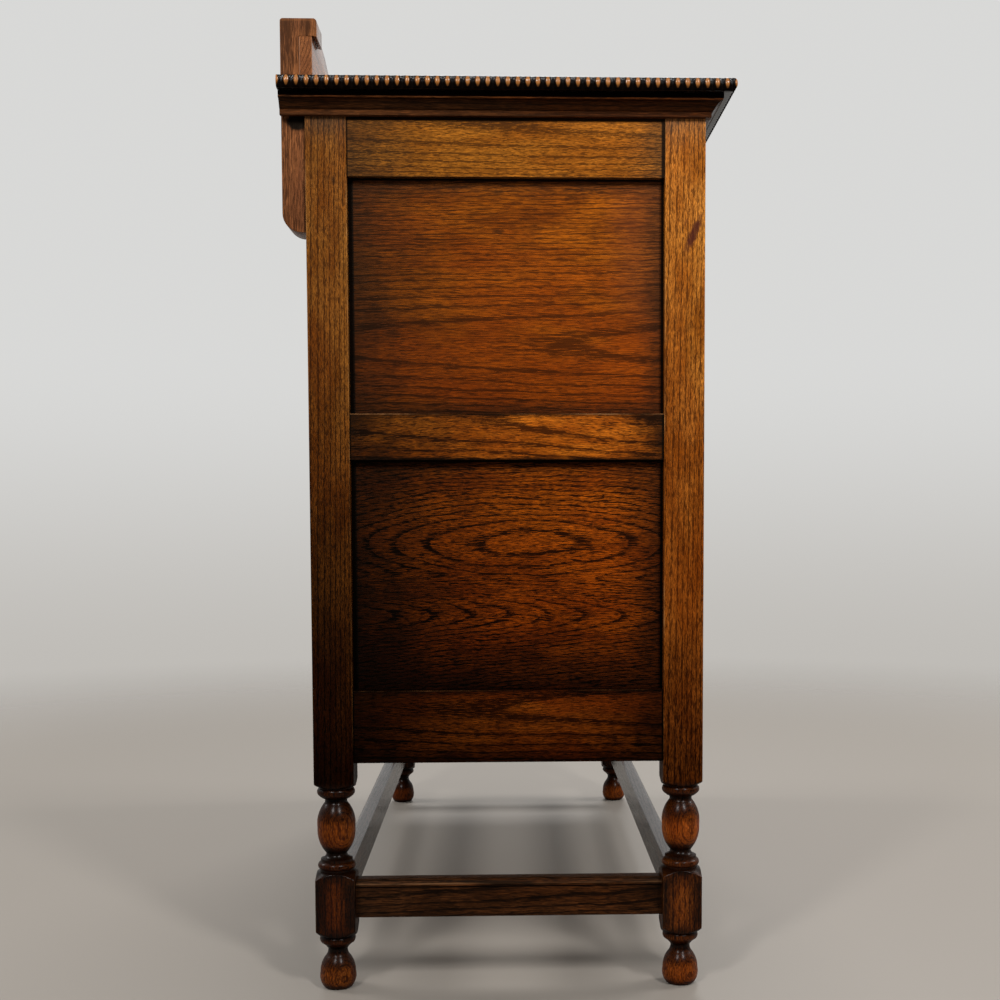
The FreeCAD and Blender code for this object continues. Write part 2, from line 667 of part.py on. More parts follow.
def door(end):
    """Framed door with a fielded panel."""
    name = f"{end}_door"
    low = f"({bottom_rail_top} + door_gap)"
    high = f"({drawer_rail_base} - door_gap)"
    y_range = from_front("rail_setback", "(rail_setback + door_thickness)")
    groove_y = from_front("(rail_setback + door_panel_inset)",
                          "(rail_setback + door_panel_inset + door_panel_thickness)")
    stiles = {"hinge": (door_outer, f"({door_outer} + stile_width)"),
              "lock": (f"({door_inner} - stile_width)", door_inner)}
    between = (stiles["hinge"][1], stiles["lock"][0])
    rail_z = ((low, f"({low} + door_rail_height)"), (f"({high} - door_rail_height)", high))
    stile_solids = []
    for kind, (near, far) in stiles.items():
        board = slab(f"{name}_{kind}_stile_board", from_end(end, near, far), y_range,
                     (low, high))
        inner = far if kind == "hinge" else near
        if kind == "hinge":
            groove_x = (f"{inner} - panel_groove", f"{inner} + overrun")
            mortise_x = (f"{inner} - door_tenon - mortise_spare", f"{inner} + overrun")
        else:
            groove_x = (f"{inner} - overrun", f"{inner} + panel_groove")
            mortise_x = (f"{inner} - overrun", f"{inner} + door_tenon + mortise_spare")
        tools = [slab(f"{name}_{kind}_groove", from_end(end, *groove_x), groove_y,
                      (f"{rail_z[0][1]} - panel_groove", f"{rail_z[1][0]} + panel_groove"))]
        for index, (base, top) in enumerate(rail_z):
            tools.append(slab(f"{name}_{kind}_mortise_{index}", from_end(end, *mortise_x),
                              groove_y, (f"{base} + tenon_shoulder", f"{top} - tenon_shoulder")))
        if kind == "hinge":
            for index, span in enumerate(hinge_heights()):
                tools.append(slab(f"{name}_hinge_bed_{index}",
                                  from_end(end, f"{near} - overrun",
                                           f"{near} + hinge_leaf_thickness"),
                                  from_front("(0 - overrun)",
                                             "(rail_setback + hinge_leaf_width)"),
                                  span))
        stile_solids.append(cut(f"{name}_{kind}_stile", board, tools))
    node(group(f"{name}_stiles", stile_solids), f"{name}_stiles")
    rail_solids = []
    for index, (base, top) in enumerate(rail_z):
        bar = slab(f"{name}_rail_{index}_bar", from_end(end, *between), y_range, (base, top))
        tenon = slab(f"{name}_rail_{index}_tenon",
                     from_end(end, f"{between[0]} - door_tenon", f"{between[1]} + door_tenon"),
                     groove_y, (f"{base} + tenon_shoulder", f"{top} - tenon_shoulder"))
        if index == 0:
            groove_z = (f"{top} - panel_groove", f"{top} + overrun")
        else:
            groove_z = (f"{base} - overrun", f"{base} + panel_groove")
        groove = slab(f"{name}_rail_{index}_groove", from_end(end, *between), groove_y,
                      groove_z)
        rail_solids.append(cut(f"{name}_rail_{index}",
                               joined(f"{name}_rail_{index}_blank", [bar, tenon]), [groove]))
    node(group(f"{name}_rails", rail_solids), f"{name}_rails")
    opening_z = (rail_z[0][1], rail_z[1][0])
    tongue = slab(f"{name}_panel_tongue",
                  from_end(end, f"{between[0]} - panel_tongue",
                           f"{between[1]} + panel_tongue"), groove_y,
                  (f"{opening_z[0]} - panel_tongue", f"{opening_z[1]} + panel_tongue"))
    node(joined(f"{name}_panel", [tongue, door_field(end, name, between, opening_z)]),
         f"{name}_panel")


def door_field(end, name, between, opening_z):
    """Raised field with bevelled margins in front of the panel's tongue."""
    field = document.addObject("Part::Wedge", f"{name}_field")
    margins = {"": "door_field_margin", "2": "door_bevel_margin"}
    for suffix, margin in margins.items():
        x_low, x_high = from_end(end, f"{between[0]} + {margin}", f"{between[1]} - {margin}")
        field.setExpression(f"X{suffix}min", bound(x_low))
        field.setExpression(f"X{suffix}max", bound(x_high))
        field.setExpression(f"Z{suffix}min", bound(f"{opening_z[0]} + {margin}"))
        field.setExpression(f"Z{suffix}max", bound(f"{opening_z[1]} - {margin}"))
    front = f"{front_face} + rail_setback + door_panel_inset"
    field.setExpression("Ymin", bound(f"{front} - door_field_rise"))
    field.setExpression("Ymax", bound(front))
    return field


def rod(name, radius, x, y, z_range):
    """Upright cylinder between two heights."""
    cylinder = document.addObject("Part::Cylinder", name)
    cylinder.setExpression("Radius", bound(radius))
    cylinder.setExpression("Height", bound(f"({z_range[1]}) - ({z_range[0]})"))
    for axis, place in zip("xyz", (x, y, z_range[0])):
        cylinder.setExpression(f"Placement.Base.{axis}", bound(place))
    return cylinder


def hinge_axis(end):
    """X and Y of a door's hinge axis, a little proud of the front."""
    depth_in = "(post_section + door_gap / 2)"
    x = f"{depth_in} - {half_width}" if end == "left" else f"{half_width} - {depth_in}"
    return x, f"{front_face} - knuckle_radius - knuckle_standoff"


def hinges():
    """Butt hinges: the post's leaf carries two knuckles and the pin, the door's leaf one."""
    axis_depth = "(0 - knuckle_radius - knuckle_standoff)"
    bore = "(hinge_pin_radius + hinge_bore_clearance)"
    third = "(hinge_length / 3)"
    fixed = []
    for end in ("left", "right"):
        moving = []
        x, y = hinge_axis(end)
        for index, (low, high) in enumerate(hinge_heights()):
            name = f"{end}_hinge_{index}"
            seam_low = f"({low} + {third})"
            seam_high = f"({low} + hinge_length - {third})"
            post_leaf = slab(f"{name}_post_leaf",
                             from_end(end, "post_section - hinge_leaf_thickness",
                                      "post_section"),
                             from_front(axis_depth, "hinge_leaf_width"), (low, high))
            window = rod(f"{name}_post_window", "knuckle_radius + body_gap", x, y,
                          (f"{seam_low} - knuckle_gap", f"{seam_high} + knuckle_gap"))
            clear_leaf = cut(f"{name}_post_leaf_cut", post_leaf, [window])
            lower = rod(f"{name}_lower", "knuckle_radius", x, y,
                        (low, f"{seam_low} - knuckle_gap"))
            upper = rod(f"{name}_upper", "knuckle_radius", x, y,
                        (f"{seam_high} + knuckle_gap", high))
            pin = rod(f"{name}_pin", "hinge_pin_radius", x, y, (low, high))
            fixed.append(joined(f"{name}_fixed", [clear_leaf, lower, upper, pin]))
            door_leaf = slab(f"{name}_door_leaf",
                             from_end(end, door_outer, f"{door_outer} + hinge_leaf_thickness"),
                             from_front(axis_depth, "(rail_setback + hinge_leaf_width)"),
                             (low, high))
            ends = [rod(f"{name}_door_window_{place}", "knuckle_radius + body_gap",
                        x, y, span)
                    for place, span in enumerate(((f"{low} - overrun", seam_low),
                                                  (seam_high, f"{high} + overrun")))]
            barrel = rod(f"{name}_barrel", "knuckle_radius", x, y,
                          (seam_low, seam_high))
            hole = rod(f"{name}_hole", bore, x, y,
                        (f"{low} - overrun", f"{high} + overrun"))
            leaf = cut(f"{name}_door_leaf_cut", door_leaf, ends)
            moving.append(cut(f"{name}_moving",
                              joined(f"{name}_moving_blank", [leaf, barrel]), [hole]))
        node(group(f"{end}_door_hinge_leaves", moving), f"{end}_door_hinge_leaves")
    node(group("post_hinge_leaves", fixed), "post_hinge_leaves")


def drop_plate(name, x, z, face):
    """Round back plate with a stalk and a bored ball; its axis points forward."""
    plate_radius = value("plate_radius")
    thickness = value("plate_thickness")
    rim = value("plate_rim")
    reach = value("stalk_reach")
    stalk = value("stalk_radius")
    wire = outline([(0, 0), (plate_radius, 0), (plate_radius, thickness - rim),
                    (plate_radius - rim, thickness), (stalk + rim, thickness),
                    (stalk, thickness + rim), (stalk, reach), (0, reach)],
                   lambda radius, ahead: vector(radius, -ahead, 0))
    turned = Part.Face(wire).revolve(vector(0, 0, 0), vector(0, 1, 0), 360)
    ball = Part.makeSphere(value("ball_radius"), vector(0, -reach, 0))
    width = value("ball_radius") + value("overrun")
    bore = Part.makeCylinder(value("drop_pin_radius + drop_pin_clearance"), width * 2,
                             vector(-width, -reach, 0), vector(1, 0, 0))
    node(solid(name, turned.fuse(ball).cut(bore), x=x, y=face, z=z), name)


# heights of the pear's bends, as shares of its length under the fork
pear_height_shares = {"neck": 0.18, "swell": 0.42, "belly": 0.68, "tuck": 0.88}


def drop(name, x, z, face):
    """Pear drop: a fork with its pin round the ball, and the pear under it."""
    cheek_in = value("ball_radius + yoke_gap")
    cheek_out = value("ball_radius + yoke_gap + yoke_cheek")
    eye = value("yoke_eye_radius")
    bridge_top = value("ball_radius + yoke_gap")
    bridge_base = value("yoke_bridge")
    pin = Part.makeCylinder(value("drop_pin_radius"), cheek_out * 2,
                            vector(-cheek_out, 0, 0), vector(1, 0, 0))
    pieces = [pin]
    for start in (-cheek_out, cheek_in):
        pieces.append(Part.makeCylinder(eye, cheek_out - cheek_in, vector(start, 0, 0),
                                        vector(1, 0, 0)))
        pieces.append(Part.makeBox(cheek_out - cheek_in, eye * 2, bridge_base,
                                   vector(start, -eye, -bridge_base)))
    pieces.append(Part.makeBox(cheek_out * 2, eye * 2, bridge_base - bridge_top,
                               vector(-cheek_out, -eye, -bridge_base)))
    length = value("drop_length")
    radius = value("drop_radius")
    neck = value("drop_neck_radius")
    tip = value("drop_tip_radius")
    body = length - bridge_base
    at = {part: -bridge_base - body * share for part, share in pear_height_shares.items()}
    wire = outline([(0, -bridge_top), (neck, -bridge_top), (neck, at["neck"]),
                    (neck + (radius - neck) / 2, at["swell"], radius, at["belly"]),
                    ((radius + tip) / 2, at["tuck"], tip, -length),
                    (0, -length)],
                   lambda across_axis, height: vector(across_axis, 0, height))
    pear = Part.Face(wire).revolve(vector(0, 0, 0), vector(0, 0, 1), 360)
    shape = pieces[0].multiFuse(pieces[1:] + [pear]).removeSplitter()
    node(solid(name, shape, x=x, y=f"{face} - stalk_reach", z=z), name)


def handles():
    for end in ("left", "right"):
        places = {
            "drawer": (f"(({door_outer} + {door_inner}) / 2)",
                       f"(({runner_top} + {drawer_top}) / 2)"),
            "door": (f"({door_inner} - door_handle_inset)",
                     f"({drawer_rail_base} - door_handle_drop)"),
        }
        face = f"{front_face} + rail_setback"
        for kind, (depth_in, z) in places.items():
            x = f"{depth_in} - {half_width}" if end == "left" else f"{half_width} - {depth_in}"
            drop_plate(f"{end}_{kind}_back_plate", x, z, face)
            drop(f"{end}_{kind}_drop", x, z, face)


def top_board():
    half = f"({half_width} + core_overhang)"
    board = slab("top_board_blank", (f"0 - {half}", half),
                 (f"{front_face} - core_overhang", rear_edge), (post_top, "top_height"))
    notches = []
    for end in ("left", "right"):
        notches.append(slab(f"top_board_{end}_notch",
                            from_end(end, "bracket_inset", "bracket_inset + bracket_width"),
                            (f"{rear_edge} - bracket_tongue", f"{rear_edge} + overrun"),
                            (f"{post_top} - overrun", "top_height + overrun")))
    node(cut("top_board", board, notches), "top_board")


def mitred(shape, length, reach, ends):
    """Cut a moulding that runs along +X, with its reach towards -Y, at 45 degrees."""
    height = value("top_height")
    for end in ends:
        start = 0 if end == "start" else length
        sign = 1 if end == "start" else -1
        spare = value("overrun")
        wedge = Part.makePolygon([vector(start + sign * spare, spare, -height),
                                  vector(start - sign * (reach + spare), -reach - spare, -height),
                                  vector(start - sign * (reach + spare) * 2, spare, -height),
                                  vector(start + sign * spare, spare, -height)])
        shape = shape.cut(Part.Face(wedge).extrude(vector(0, 0, height * 2)))
    return shape


# where the cove bends, as a share of its reach and of its height
cove_bend_share = 0.3


def cornice_profile():
    """Cove with a band at its foot; first number is the reach, second the height."""
    reach = value("cornice_reach")
    foot = value("cornice_foot_reach")
    top = value(post_top)
    base = top - value("cornice_height")
    band = base + value("cornice_band")
    cove_top = top - value("cornice_fillet")
    bend = (foot + (reach - foot) * cove_bend_share,
            cove_top - (cove_top - band) * cove_bend_share)
    return [(0, base), (foot, base), (foot, band), (*bend, reach, cove_top), (reach, top),
            (0, top)]


def edge_profile():
    """Core of the nulled edge, measured from the edge of the top board."""
    top = value("top_height")
    base = top - value("edge_thickness")
    reach = value("edge_core_reach")
    foot = value("edge_foot_reach")
    middle = (top + base) / 2
    return [(0, base), (foot, base), (reach, middle), (reach, top), (0, top)]


def moulding(profile, length, start_reach):
    """Profile swept along +X with mitred ends long enough for its reach."""
    reach = max(step[-2] for step in profile)
    wire = outline(profile, lambda out, height: vector(-start_reach - reach, -out, height))
    run = length + (start_reach + reach) * 2
    return Part.Face(wire).extrude(vector(run, 0, 0))


def beads(length, start_reach, mitre_ends):
    """Row of upright beads on the face of the edge moulding."""
    core = value("edge_core_reach")
    rise = value("bead_rise")
    ahead = {end: (core if end in mitre_ends else 0) for end in ("start", "end")}
    low = -ahead["start"]
    high = length + ahead["end"]
    count = max(1, round((high - low) / value("bead_pitch")))
    pitch = (high - low) / count
    back = -core / 2
    front = -core
    edges = [line(vector(low, front, 0), vector(low, back, 0)),
             line(vector(low, back, 0), vector(high, back, 0)),
             line(vector(high, back, 0), vector(high, front, 0))]
    for index in range(count):
        right = high - pitch * index
        left = right - pitch
        edges.append(arc(vector(right, front, 0),
                         vector((left + right) / 2, front - rise, 0),
                         vector(left, front, 0)))
    wire = Part.Wire(Part.__sortEdges__(edges))
    row = Part.Face(wire).extrude(vector(0, 0, value("bead_height")))
    row.translate(vector(0, 0, value("top_height - bead_drop - bead_height")))
    return row


def run_of_moulding(kind, length, ends):
    """Cornice or edge moulding, its back at y = 0, from x = 0 to its length."""
    if kind == "cornice":
        profile = cornice_profile()
        shape = moulding(profile, length, 0)
        reach = value("cornice_reach")
    else:
        profile = edge_profile()
        shape = moulding(profile, length, value("bead_rise"))
        shape = shape.fuse(beads(length, 0, ends))
        reach = value("edge_core_reach + bead_rise")
    square_ends = [end for end in ("start", "end") if end not in ends]
    for end in square_ends:
        size = value("carcass_width")
        low = -size if end == "start" else length
        shape = shape.cut(Part.makeBox(size, size, size * 2, vector(low, -size / 2, 0)))
    return mitred(shape, length, reach, ends)


def mouldings():
    """The cornice lies against the posts, the nulled edge against the top board."""
    offsets = {"cornice": "0", "edge": "core_overhang"}
    lengths = {}
    for kind, offset in offsets.items():
        wide = value(f"carcass_width + {offset} + {offset}")
        deep = value(f"{rear_edge} - {front_face} + {offset}")
        low_x = f"0 - {half_width} - {offset}"
        low_y = f"{front_face} - {offset}"
        front = run_of_moulding(kind, wide, ("start", "end"))
        left = run_of_moulding(kind, deep, ("end",))
        right = run_of_moulding(kind, deep, ("start",))
        left.rotate(vector(0, 0, 0), vector(0, 0, 1), -90)
        right.rotate(vector(0, 0, 0), vector(0, 0, 1), 90)
        lengths[kind] = {
            "front": solid(f"front_{kind}_moulding", front, x=low_x, y=low_y),
            "left": solid(f"left_{kind}_moulding", left, x=low_x, y=rear_edge),
            "right": solid(f"right_{kind}_moulding", right, x=f"{half_width} + {offset}",
                           y=low_y),
        }
    edge = lengths["edge"]
    node(edge["front"], "front_edge_moulding")
    node(group("side_edge_mouldings", [edge["left"], edge["right"]]), "side_edge_mouldings")
    node(group("cornice_mouldings", list(lengths["cornice"].values())), "cornice_mouldings")


def bracket(end):
    """Upright behind the rear post that carries the gallery: rounded foot, tongue through
    the top board, head over the gallery board."""
    name = f"{end}_gallery_bracket"
    rear = value(rear_edge)
    post_rear = value(f"{front_face} + carcass_depth")
    tongue = rear - value("bracket_tongue")
    base = value("top_height - bracket_drop")
    head_base = value("top_height + head_rise")
    head_top = head_base + value("head_height")
    head_front = rear - value("head_depth")
    bend = value("bracket_round")
    edge = value("head_round")
    diagonal = 1 - math.sqrt(0.5)
    wire = outline([
        (post_rear, base),
        (rear - bend, base),
        (rear - bend * diagonal, base + bend * diagonal, rear, base + bend),
        (rear, head_top - edge),
        (rear - edge * diagonal, head_top - edge * diagonal, rear - edge, head_top),
        (head_front + edge, head_top),
        (head_front + edge * diagonal, head_top - edge * diagonal, head_front,
         head_top - edge),
        (head_front, head_base),
        (tongue, head_base),
        (tongue, value(post_top)),
        (post_rear, value(post_top)),
    ], lambda y, z: vector(0, y, z))
    shape = Part.Face(wire).extrude(vector(value("bracket_width"), 0, 0))
    x_low = from_end(end, "bracket_inset", "bracket_inset + bracket_width")[0]
    node(solid(name, shape, x=x_low), name)


# The gallery's crest from a bracket to the middle: shares of the half length, then shares of
# the fall from the shoulder that is left, then shares of the rise from the dip.
crest_place_shares = [1, 0.92, 0.80, 0.62, 0.42, 0.22, 0]
crest_fall_shares = [1, 0.82, 0.28]
crest_rise_shares = [0.06, 0.52, 0.90, 1]


def gallery_board():
    """Board along the rear of the top, its crest falling from the brackets and rising to
    the middle."""
    half = value(f"{half_width} - bracket_inset")
    inner = half - value("bracket_width + body_gap")
    base = value("top_height")
    under_head = value("top_height + head_rise - body_gap")
    shoulder = base + value("gallery_shoulder")
    dip = base + value("gallery_dip")
    crest = base + value("gallery_crest")
    heights = [dip + (shoulder - dip) * share for share in crest_fall_shares]
    heights += [dip + (crest - dip) * share for share in crest_rise_shares]
    right = [vector(inner * share, 0, height)
             for share, height in zip(crest_place_shares, heights)]
    left = [vector(-point.x, 0, point.z) for point in reversed(right[:-1])]
    curve = Part.BSplineCurve()
    curve.interpolate(right + left)
    corners = [vector(-inner, 0, shoulder), vector(-inner, 0, under_head),
               vector(-half, 0, under_head), vector(-half, 0, base), vector(half, 0, base),
               vector(half, 0, under_head), vector(inner, 0, under_head),
               vector(inner, 0, shoulder)]
    edges = [curve.toShape()]
    for start, end in zip(corners, corners[1:]):
        edges.append(line(start, end))
    face = Part.Face(Part.Wire(Part.__sortEdges__(edges)))
    board = face.extrude(vector(0, -value("gallery_thickness"), 0))
    node(solid("gallery_board", board, y=f"{rear_edge} - bracket_tongue"), "gallery_board")


turning = turned_leg()
for end in ("left", "right"):
    for side in ("front", "rear"):
        post(end, side, turning)
    for rail in ("top", "mid", "bottom"):
        side_rail(end, rail)
    for level in ("upper", "lower"):
        side_panel(end, level)
stretchers()
front_rails()
back_and_boards()
runners()
for end in ("left", "right"):
    drawer(end)
    door(end)
hinges()
handles()
top_board()
mouldings()
for end in ("left", "right"):
    bracket(end)
gallery_board()
document.recompute()

for item in document.Objects:
    if "Invalid" in item.State or "Error" in item.State:
        raise RuntimeError(f"{item.Name} failed: {item.State}")
for piece in nodes:
    if piece.Shape.isNull() or not piece.Shape.isValid():
        raise RuntimeError(f"{piece.Label} has no valid shape")
    if not piece.Shape.Solids:
        raise RuntimeError(f"{piece.Label} has no solid")

os.makedirs("parts", exist_ok=True)
for piece in nodes:
    piece.Shape.exportStep(f"parts/{piece.Label}.step")
print(len(nodes), "nodes")
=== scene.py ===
import math

import bpy
from mathutils import Matrix, Vector


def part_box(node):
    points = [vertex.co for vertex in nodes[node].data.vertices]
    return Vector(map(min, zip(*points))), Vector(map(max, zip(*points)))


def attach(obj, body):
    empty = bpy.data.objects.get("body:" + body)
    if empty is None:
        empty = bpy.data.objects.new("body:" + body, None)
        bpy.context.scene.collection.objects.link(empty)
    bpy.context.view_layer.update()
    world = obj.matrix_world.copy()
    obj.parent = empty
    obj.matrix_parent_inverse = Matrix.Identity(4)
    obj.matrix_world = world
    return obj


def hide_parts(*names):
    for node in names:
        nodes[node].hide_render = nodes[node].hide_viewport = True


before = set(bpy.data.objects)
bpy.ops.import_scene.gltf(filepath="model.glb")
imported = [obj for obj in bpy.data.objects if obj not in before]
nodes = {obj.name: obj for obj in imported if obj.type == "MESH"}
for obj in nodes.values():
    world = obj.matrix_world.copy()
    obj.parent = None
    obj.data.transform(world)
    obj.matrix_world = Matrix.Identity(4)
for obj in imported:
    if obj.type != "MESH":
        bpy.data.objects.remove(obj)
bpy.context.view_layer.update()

scene = bpy.context.scene
mm = 0.001
print("frame loaded:", len(nodes), "nodes")


class Field:
    # what changes over a surface; + - * / with it add a maths node to its tree

    def __init__(self, socket):
        self.socket = socket
        self.tree = socket.id_data

    def __add__(self, other):
        return calc("ADD", self, other)

    def __radd__(self, other):
        return calc("ADD", other, self)

    def __sub__(self, other):
        return calc("SUBTRACT", self, other)

    def __rsub__(self, other):
        return calc("SUBTRACT", other, self)

    def __mul__(self, other):
        return calc("MULTIPLY", self, other)

    def __truediv__(self, other):
        return calc("DIVIDE", self, other)

    def __rtruediv__(self, other):
        return calc("DIVIDE", other, self)


def feed(node, inputs):
    # each input is linked to a field, or takes a value of its own
    for name, source in inputs.items():
        if isinstance(source, Field):
            node.id_data.links.new(source.socket, node.inputs[name])
        else:
            node.inputs[name].default_value = source


def addNode(tree, kind, inputs=None, **settings):
    node = tree.nodes.new(kind)
    for name, setting in settings.items():
        setattr(node, name, setting)
    feed(node, inputs or {})
    return node


def nodeField(kind, inputs, output=0, **settings):
    # an output of a new node that stands in the tree of its inputs
    tree = next(source.tree for source in inputs.values() if isinstance(source, Field))
    return Field(addNode(tree, kind, inputs, **settings).outputs[output])


def calc(operation, *values):
    inputs = dict(enumerate(values))
    if any(isinstance(value, Field) and value.socket.type == "VECTOR" for value in values):
        output = "Value" if operation in ("DOT_PRODUCT", "LENGTH") else "Vector"
        return nodeField("ShaderNodeVectorMath", inputs, output, operation=operation)
    return nodeField("ShaderNodeMath", inputs, operation=operation)


def scaled(vector, factor):
    return nodeField("ShaderNodeVectorMath", {0: vector, "Scale": factor}, operation="SCALE")


def remap(value, low, high, toLow=0.0, toHigh=1.0, shape="SMOOTHSTEP"):
    inputs = {"Value": value, "From Min": low, "From Max": high, "To Min": toLow, "To Max": toHigh}
    return nodeField("ShaderNodeMapRange", inputs, "Result", interpolation_type=shape)


def noise(vector, scale=1.0, detail=2.0, roughness=0.5):
    inputs = {"Vector": vector, "Scale": scale, "Detail": detail, "Roughness": roughness}
    return nodeField("ShaderNodeTexNoise", inputs, "Fac", noise_dimensions="3D")


def ragged(vector, scale, amount, detail=3, roughness=0.5):
    # noise about zero that roughens an outline by up to half the amount
    return (noise(vector, scale, detail, roughness) - 0.5) * amount


def mixColor(factor, first, second):
    # a colour that isn't a field is a tone of three numbers
    first, second = (tone if isinstance(tone, Field) else (*tone, 1) for tone in (first, second))
    return nodeField("ShaderNodeMix", {0: factor, 6: first, 7: second}, 2, data_type="RGBA")


def combine(x, y, z):
    return nodeField("ShaderNodeCombineXYZ", {0: x, 1: y, 2: z})


def split(vector):
    node = addNode(vector.tree, "ShaderNodeSeparateXYZ", {0: vector})
    return [Field(socket) for socket in node.outputs]


def throughCurve(value, points):
    # turns a number into another one by a curve of (from, to)
    node = addNode(value.tree, "ShaderNodeFloatCurve", {"Value": value})
    curve = node.mapping.curves[0]
    curve.points[0].location = points[0]
    curve.points[1].location = points[-1]
    for point in points[1:-1]:
        curve.points.new(*point)
    node.mapping.update()
    return Field(node.outputs[0])


def newGroup(name, inputs, outputs):
    # a start value of three numbers makes a vector input, one of four a colour
    group = bpy.data.node_groups.new(name, "ShaderNodeTree")
    for label, start in inputs.items():
        kind = "Float" if isinstance(start, float) else {3: "Vector", 4: "Color"}[len(start)]
        socket = group.interface.new_socket(name=label, in_out="INPUT",
                                            socket_type=f"NodeSocket{kind}")
        socket.default_value = start
    for label, kind in outputs.items():
        group.interface.new_socket(name=label, in_out="OUTPUT", socket_type=f"NodeSocket{kind}")
    source = {socket.name: Field(socket) for socket in group.nodes.new("NodeGroupInput").outputs
              if socket.name}
    return group, source, group.nodes.new("NodeGroupOutput")


def useGroup(tree, group, inputs):
    node = addNode(tree, "ShaderNodeGroup", inputs, node_tree=group)
    return {socket.name: Field(socket) for socket in node.outputs}


def named(values, labels):
    # a group's "Ring Width" takes the value called ringWidth
    return {label: values[label[0].lower() + label[1:].replace(" ", "")] for label in labels}


# effects shared by the materials; lengths in them are in metres

zero = (0.0, 0.0, 0.0)
dirtAndShadowBlack = (0.003, 0.0015, 0.001)

grainInputs = {
    "Seed": 0.0, "Ring Width": 0.004, "Pith Across": 0.0, "Pith Depth": 0.06, "Taper": 0.0,
    "Bow": 0.0, "Bow Centre": 0.0, "Wave": 0.006, "Split": -1.0, "Heart Two": 0.0,
    "Depth Two": 0.03, "Taper Two": 0.0, "Pore Length": 1.0, "Pore Amount": 0.7,
    "Ring Amount": 0.3, "Patch Amount": 1.0, "Red Amount": 0.5,
}
grainShape = {
    # scales of noise are (along the grain, across it); edges are (from, to)
    "seedShift": (1.37, 2.11, 0.73), "slowWave": (5, 17), "quickWave": (24, 75),
    "kinkWave": (60, 110), "quickShare": 0.35, "kinkShare": 0.16, "poreBend": 1.3,
    "splitBlend": 0.016, "earlyEnd": 0.38, "earlyStart": 0.91,
    "pores": (58, 1080), "poresLate": 0.565, "poresEarly": 0.40, "poreEdge": 0.05,
    "finePores": (120, 2100), "fineEdge": (0.49, 0.55), "fineShare": 0.7,
    "patches": (9, 34), "patchEdge": (0.36, 0.62),
    "blush": (4.5, 13), "blushShift": (7, 3, 5), "blushEdge": (0.42, 0.60),
    "fibres": (42, 1250), "fibreEdge": (0.30, 0.70), "fibreTone": (0.52, 1.48),
    "poreSink": -0.8, "fibreRise": 0.5,
}


def makeOakGrain():
    # growth rings cut by the board's face, open pores along the grain, and the stain in them
    shape = grainShape
    group, source, sink = newGroup(
        "oakGrain",
        {"Vector": zero, "Centre": zero, "Along": (1.0, 0.0, 0.0), "Across": (0.0, 1.0, 0.0),
         **grainInputs, "Light": (0.3, 0.1, 0.02, 1), "Deep": (0.1, 0.03, 0.01, 1),
         "Red": (0.2, 0.04, 0.01, 1), "Pore": (0.02, 0.01, 0.0, 1)},
        {"Color": "Color", "Pores": "Float", "Height": "Float"})
    # board coordinates: along the grain, across it, into the board
    local = source["Vector"] - source["Centre"]
    into = calc("CROSS_PRODUCT", source["Along"], source["Across"])
    board = combine(*(calc("DOT_PRODUCT", local, axis)
                      for axis in (source["Along"], source["Across"], into)))
    shift = combine(*(source["Seed"] * share for share in shape["seedShift"]))
    place = board + shift

    def figure(start, scales, detail, roughness=0.5):
        along, across = scales
        return noise(start * (along, across, across), detail=detail, roughness=roughness)

    slow = (figure(place, shape["slowWave"], 2) - 0.5) * source["Wave"]
    quick = (figure(place, shape["quickWave"], 1) - 0.5) * (source["Wave"] * shape["quickShare"])
    kink = (figure(place, shape["kinkWave"], 1) - 0.5) * (source["Wave"] * shape["kinkShare"])
    wander = slow + quick + kink

    # distance from the pith, which leans, bows and may have a second heart below the split
    along, sideways, inwards = split(board)
    across = sideways - source["Pith Across"] + wander
    depth = inwards + source["Pith Depth"]
    radius = calc("SQRT", across * across + depth * depth) - along * source["Taper"]
    away = along - source["Bow Centre"]
    radius = radius + away * away * source["Bow"]
    across = sideways - source["Heart Two"] + wander
    depth = source["Depth Two"]
    other = calc("SQRT", across * across + depth * depth) - along * source["Taper Two"]
    above = remap(sideways - source["Split"], -shape["splitBlend"], shape["splitBlend"])
    radius = radius * above + other * (1.0 - above)
    phase = calc("FRACT", radius / source["Ring Width"])
    early = calc("MAXIMUM", remap(phase, 0.0, shape["earlyEnd"], 1.0, 0.0),
                 remap(phase, shape["earlyStart"], 1.0))

    # dashes follow the wandering grain, so they are read from the bent coordinates
    bent = combine(along, sideways + slow * shape["poreBend"], inwards) + shift
    fibres = bent * combine(1.0 / source["Pore Length"], 1.0, 1.0)
    openAt = remap(early, 0.0, 1.0, shape["poresLate"], shape["poresEarly"], "LINEAR")
    coarse = remap(figure(fibres, shape["pores"], 2, 0.62), openAt, openAt + shape["poreEdge"])
    fine = remap(figure(fibres, shape["finePores"], 1), *shape["fineEdge"])
    pores = calc("MAXIMUM", coarse, fine * shape["fineShare"])

    patches = remap(figure(place, shape["patches"], 4, 0.68), *shape["patchEdge"])
    patches = 1.0 - (1.0 - patches) * source["Patch Amount"]
    tone = mixColor(patches, source["Deep"], source["Light"])
    blush = remap(figure(place + shape["blushShift"], shape["blush"], 3), *shape["blushEdge"])
    tone = mixColor(blush * source["Red Amount"], tone, source["Red"])
    fibre = remap(figure(fibres, shape["fibres"], 3, 0.7), *shape["fibreEdge"],
                  *shape["fibreTone"], "LINEAR")
    tone = scaled(tone, fibre * (1.0 - early * source["Ring Amount"]))
    feed(sink, {"Color": mixColor(pores * source["Pore Amount"], tone, source["Pore"]),
                "Pores": pores, "Height": pores * shape["poreSink"] + fibre * shape["fibreRise"]})
    return group


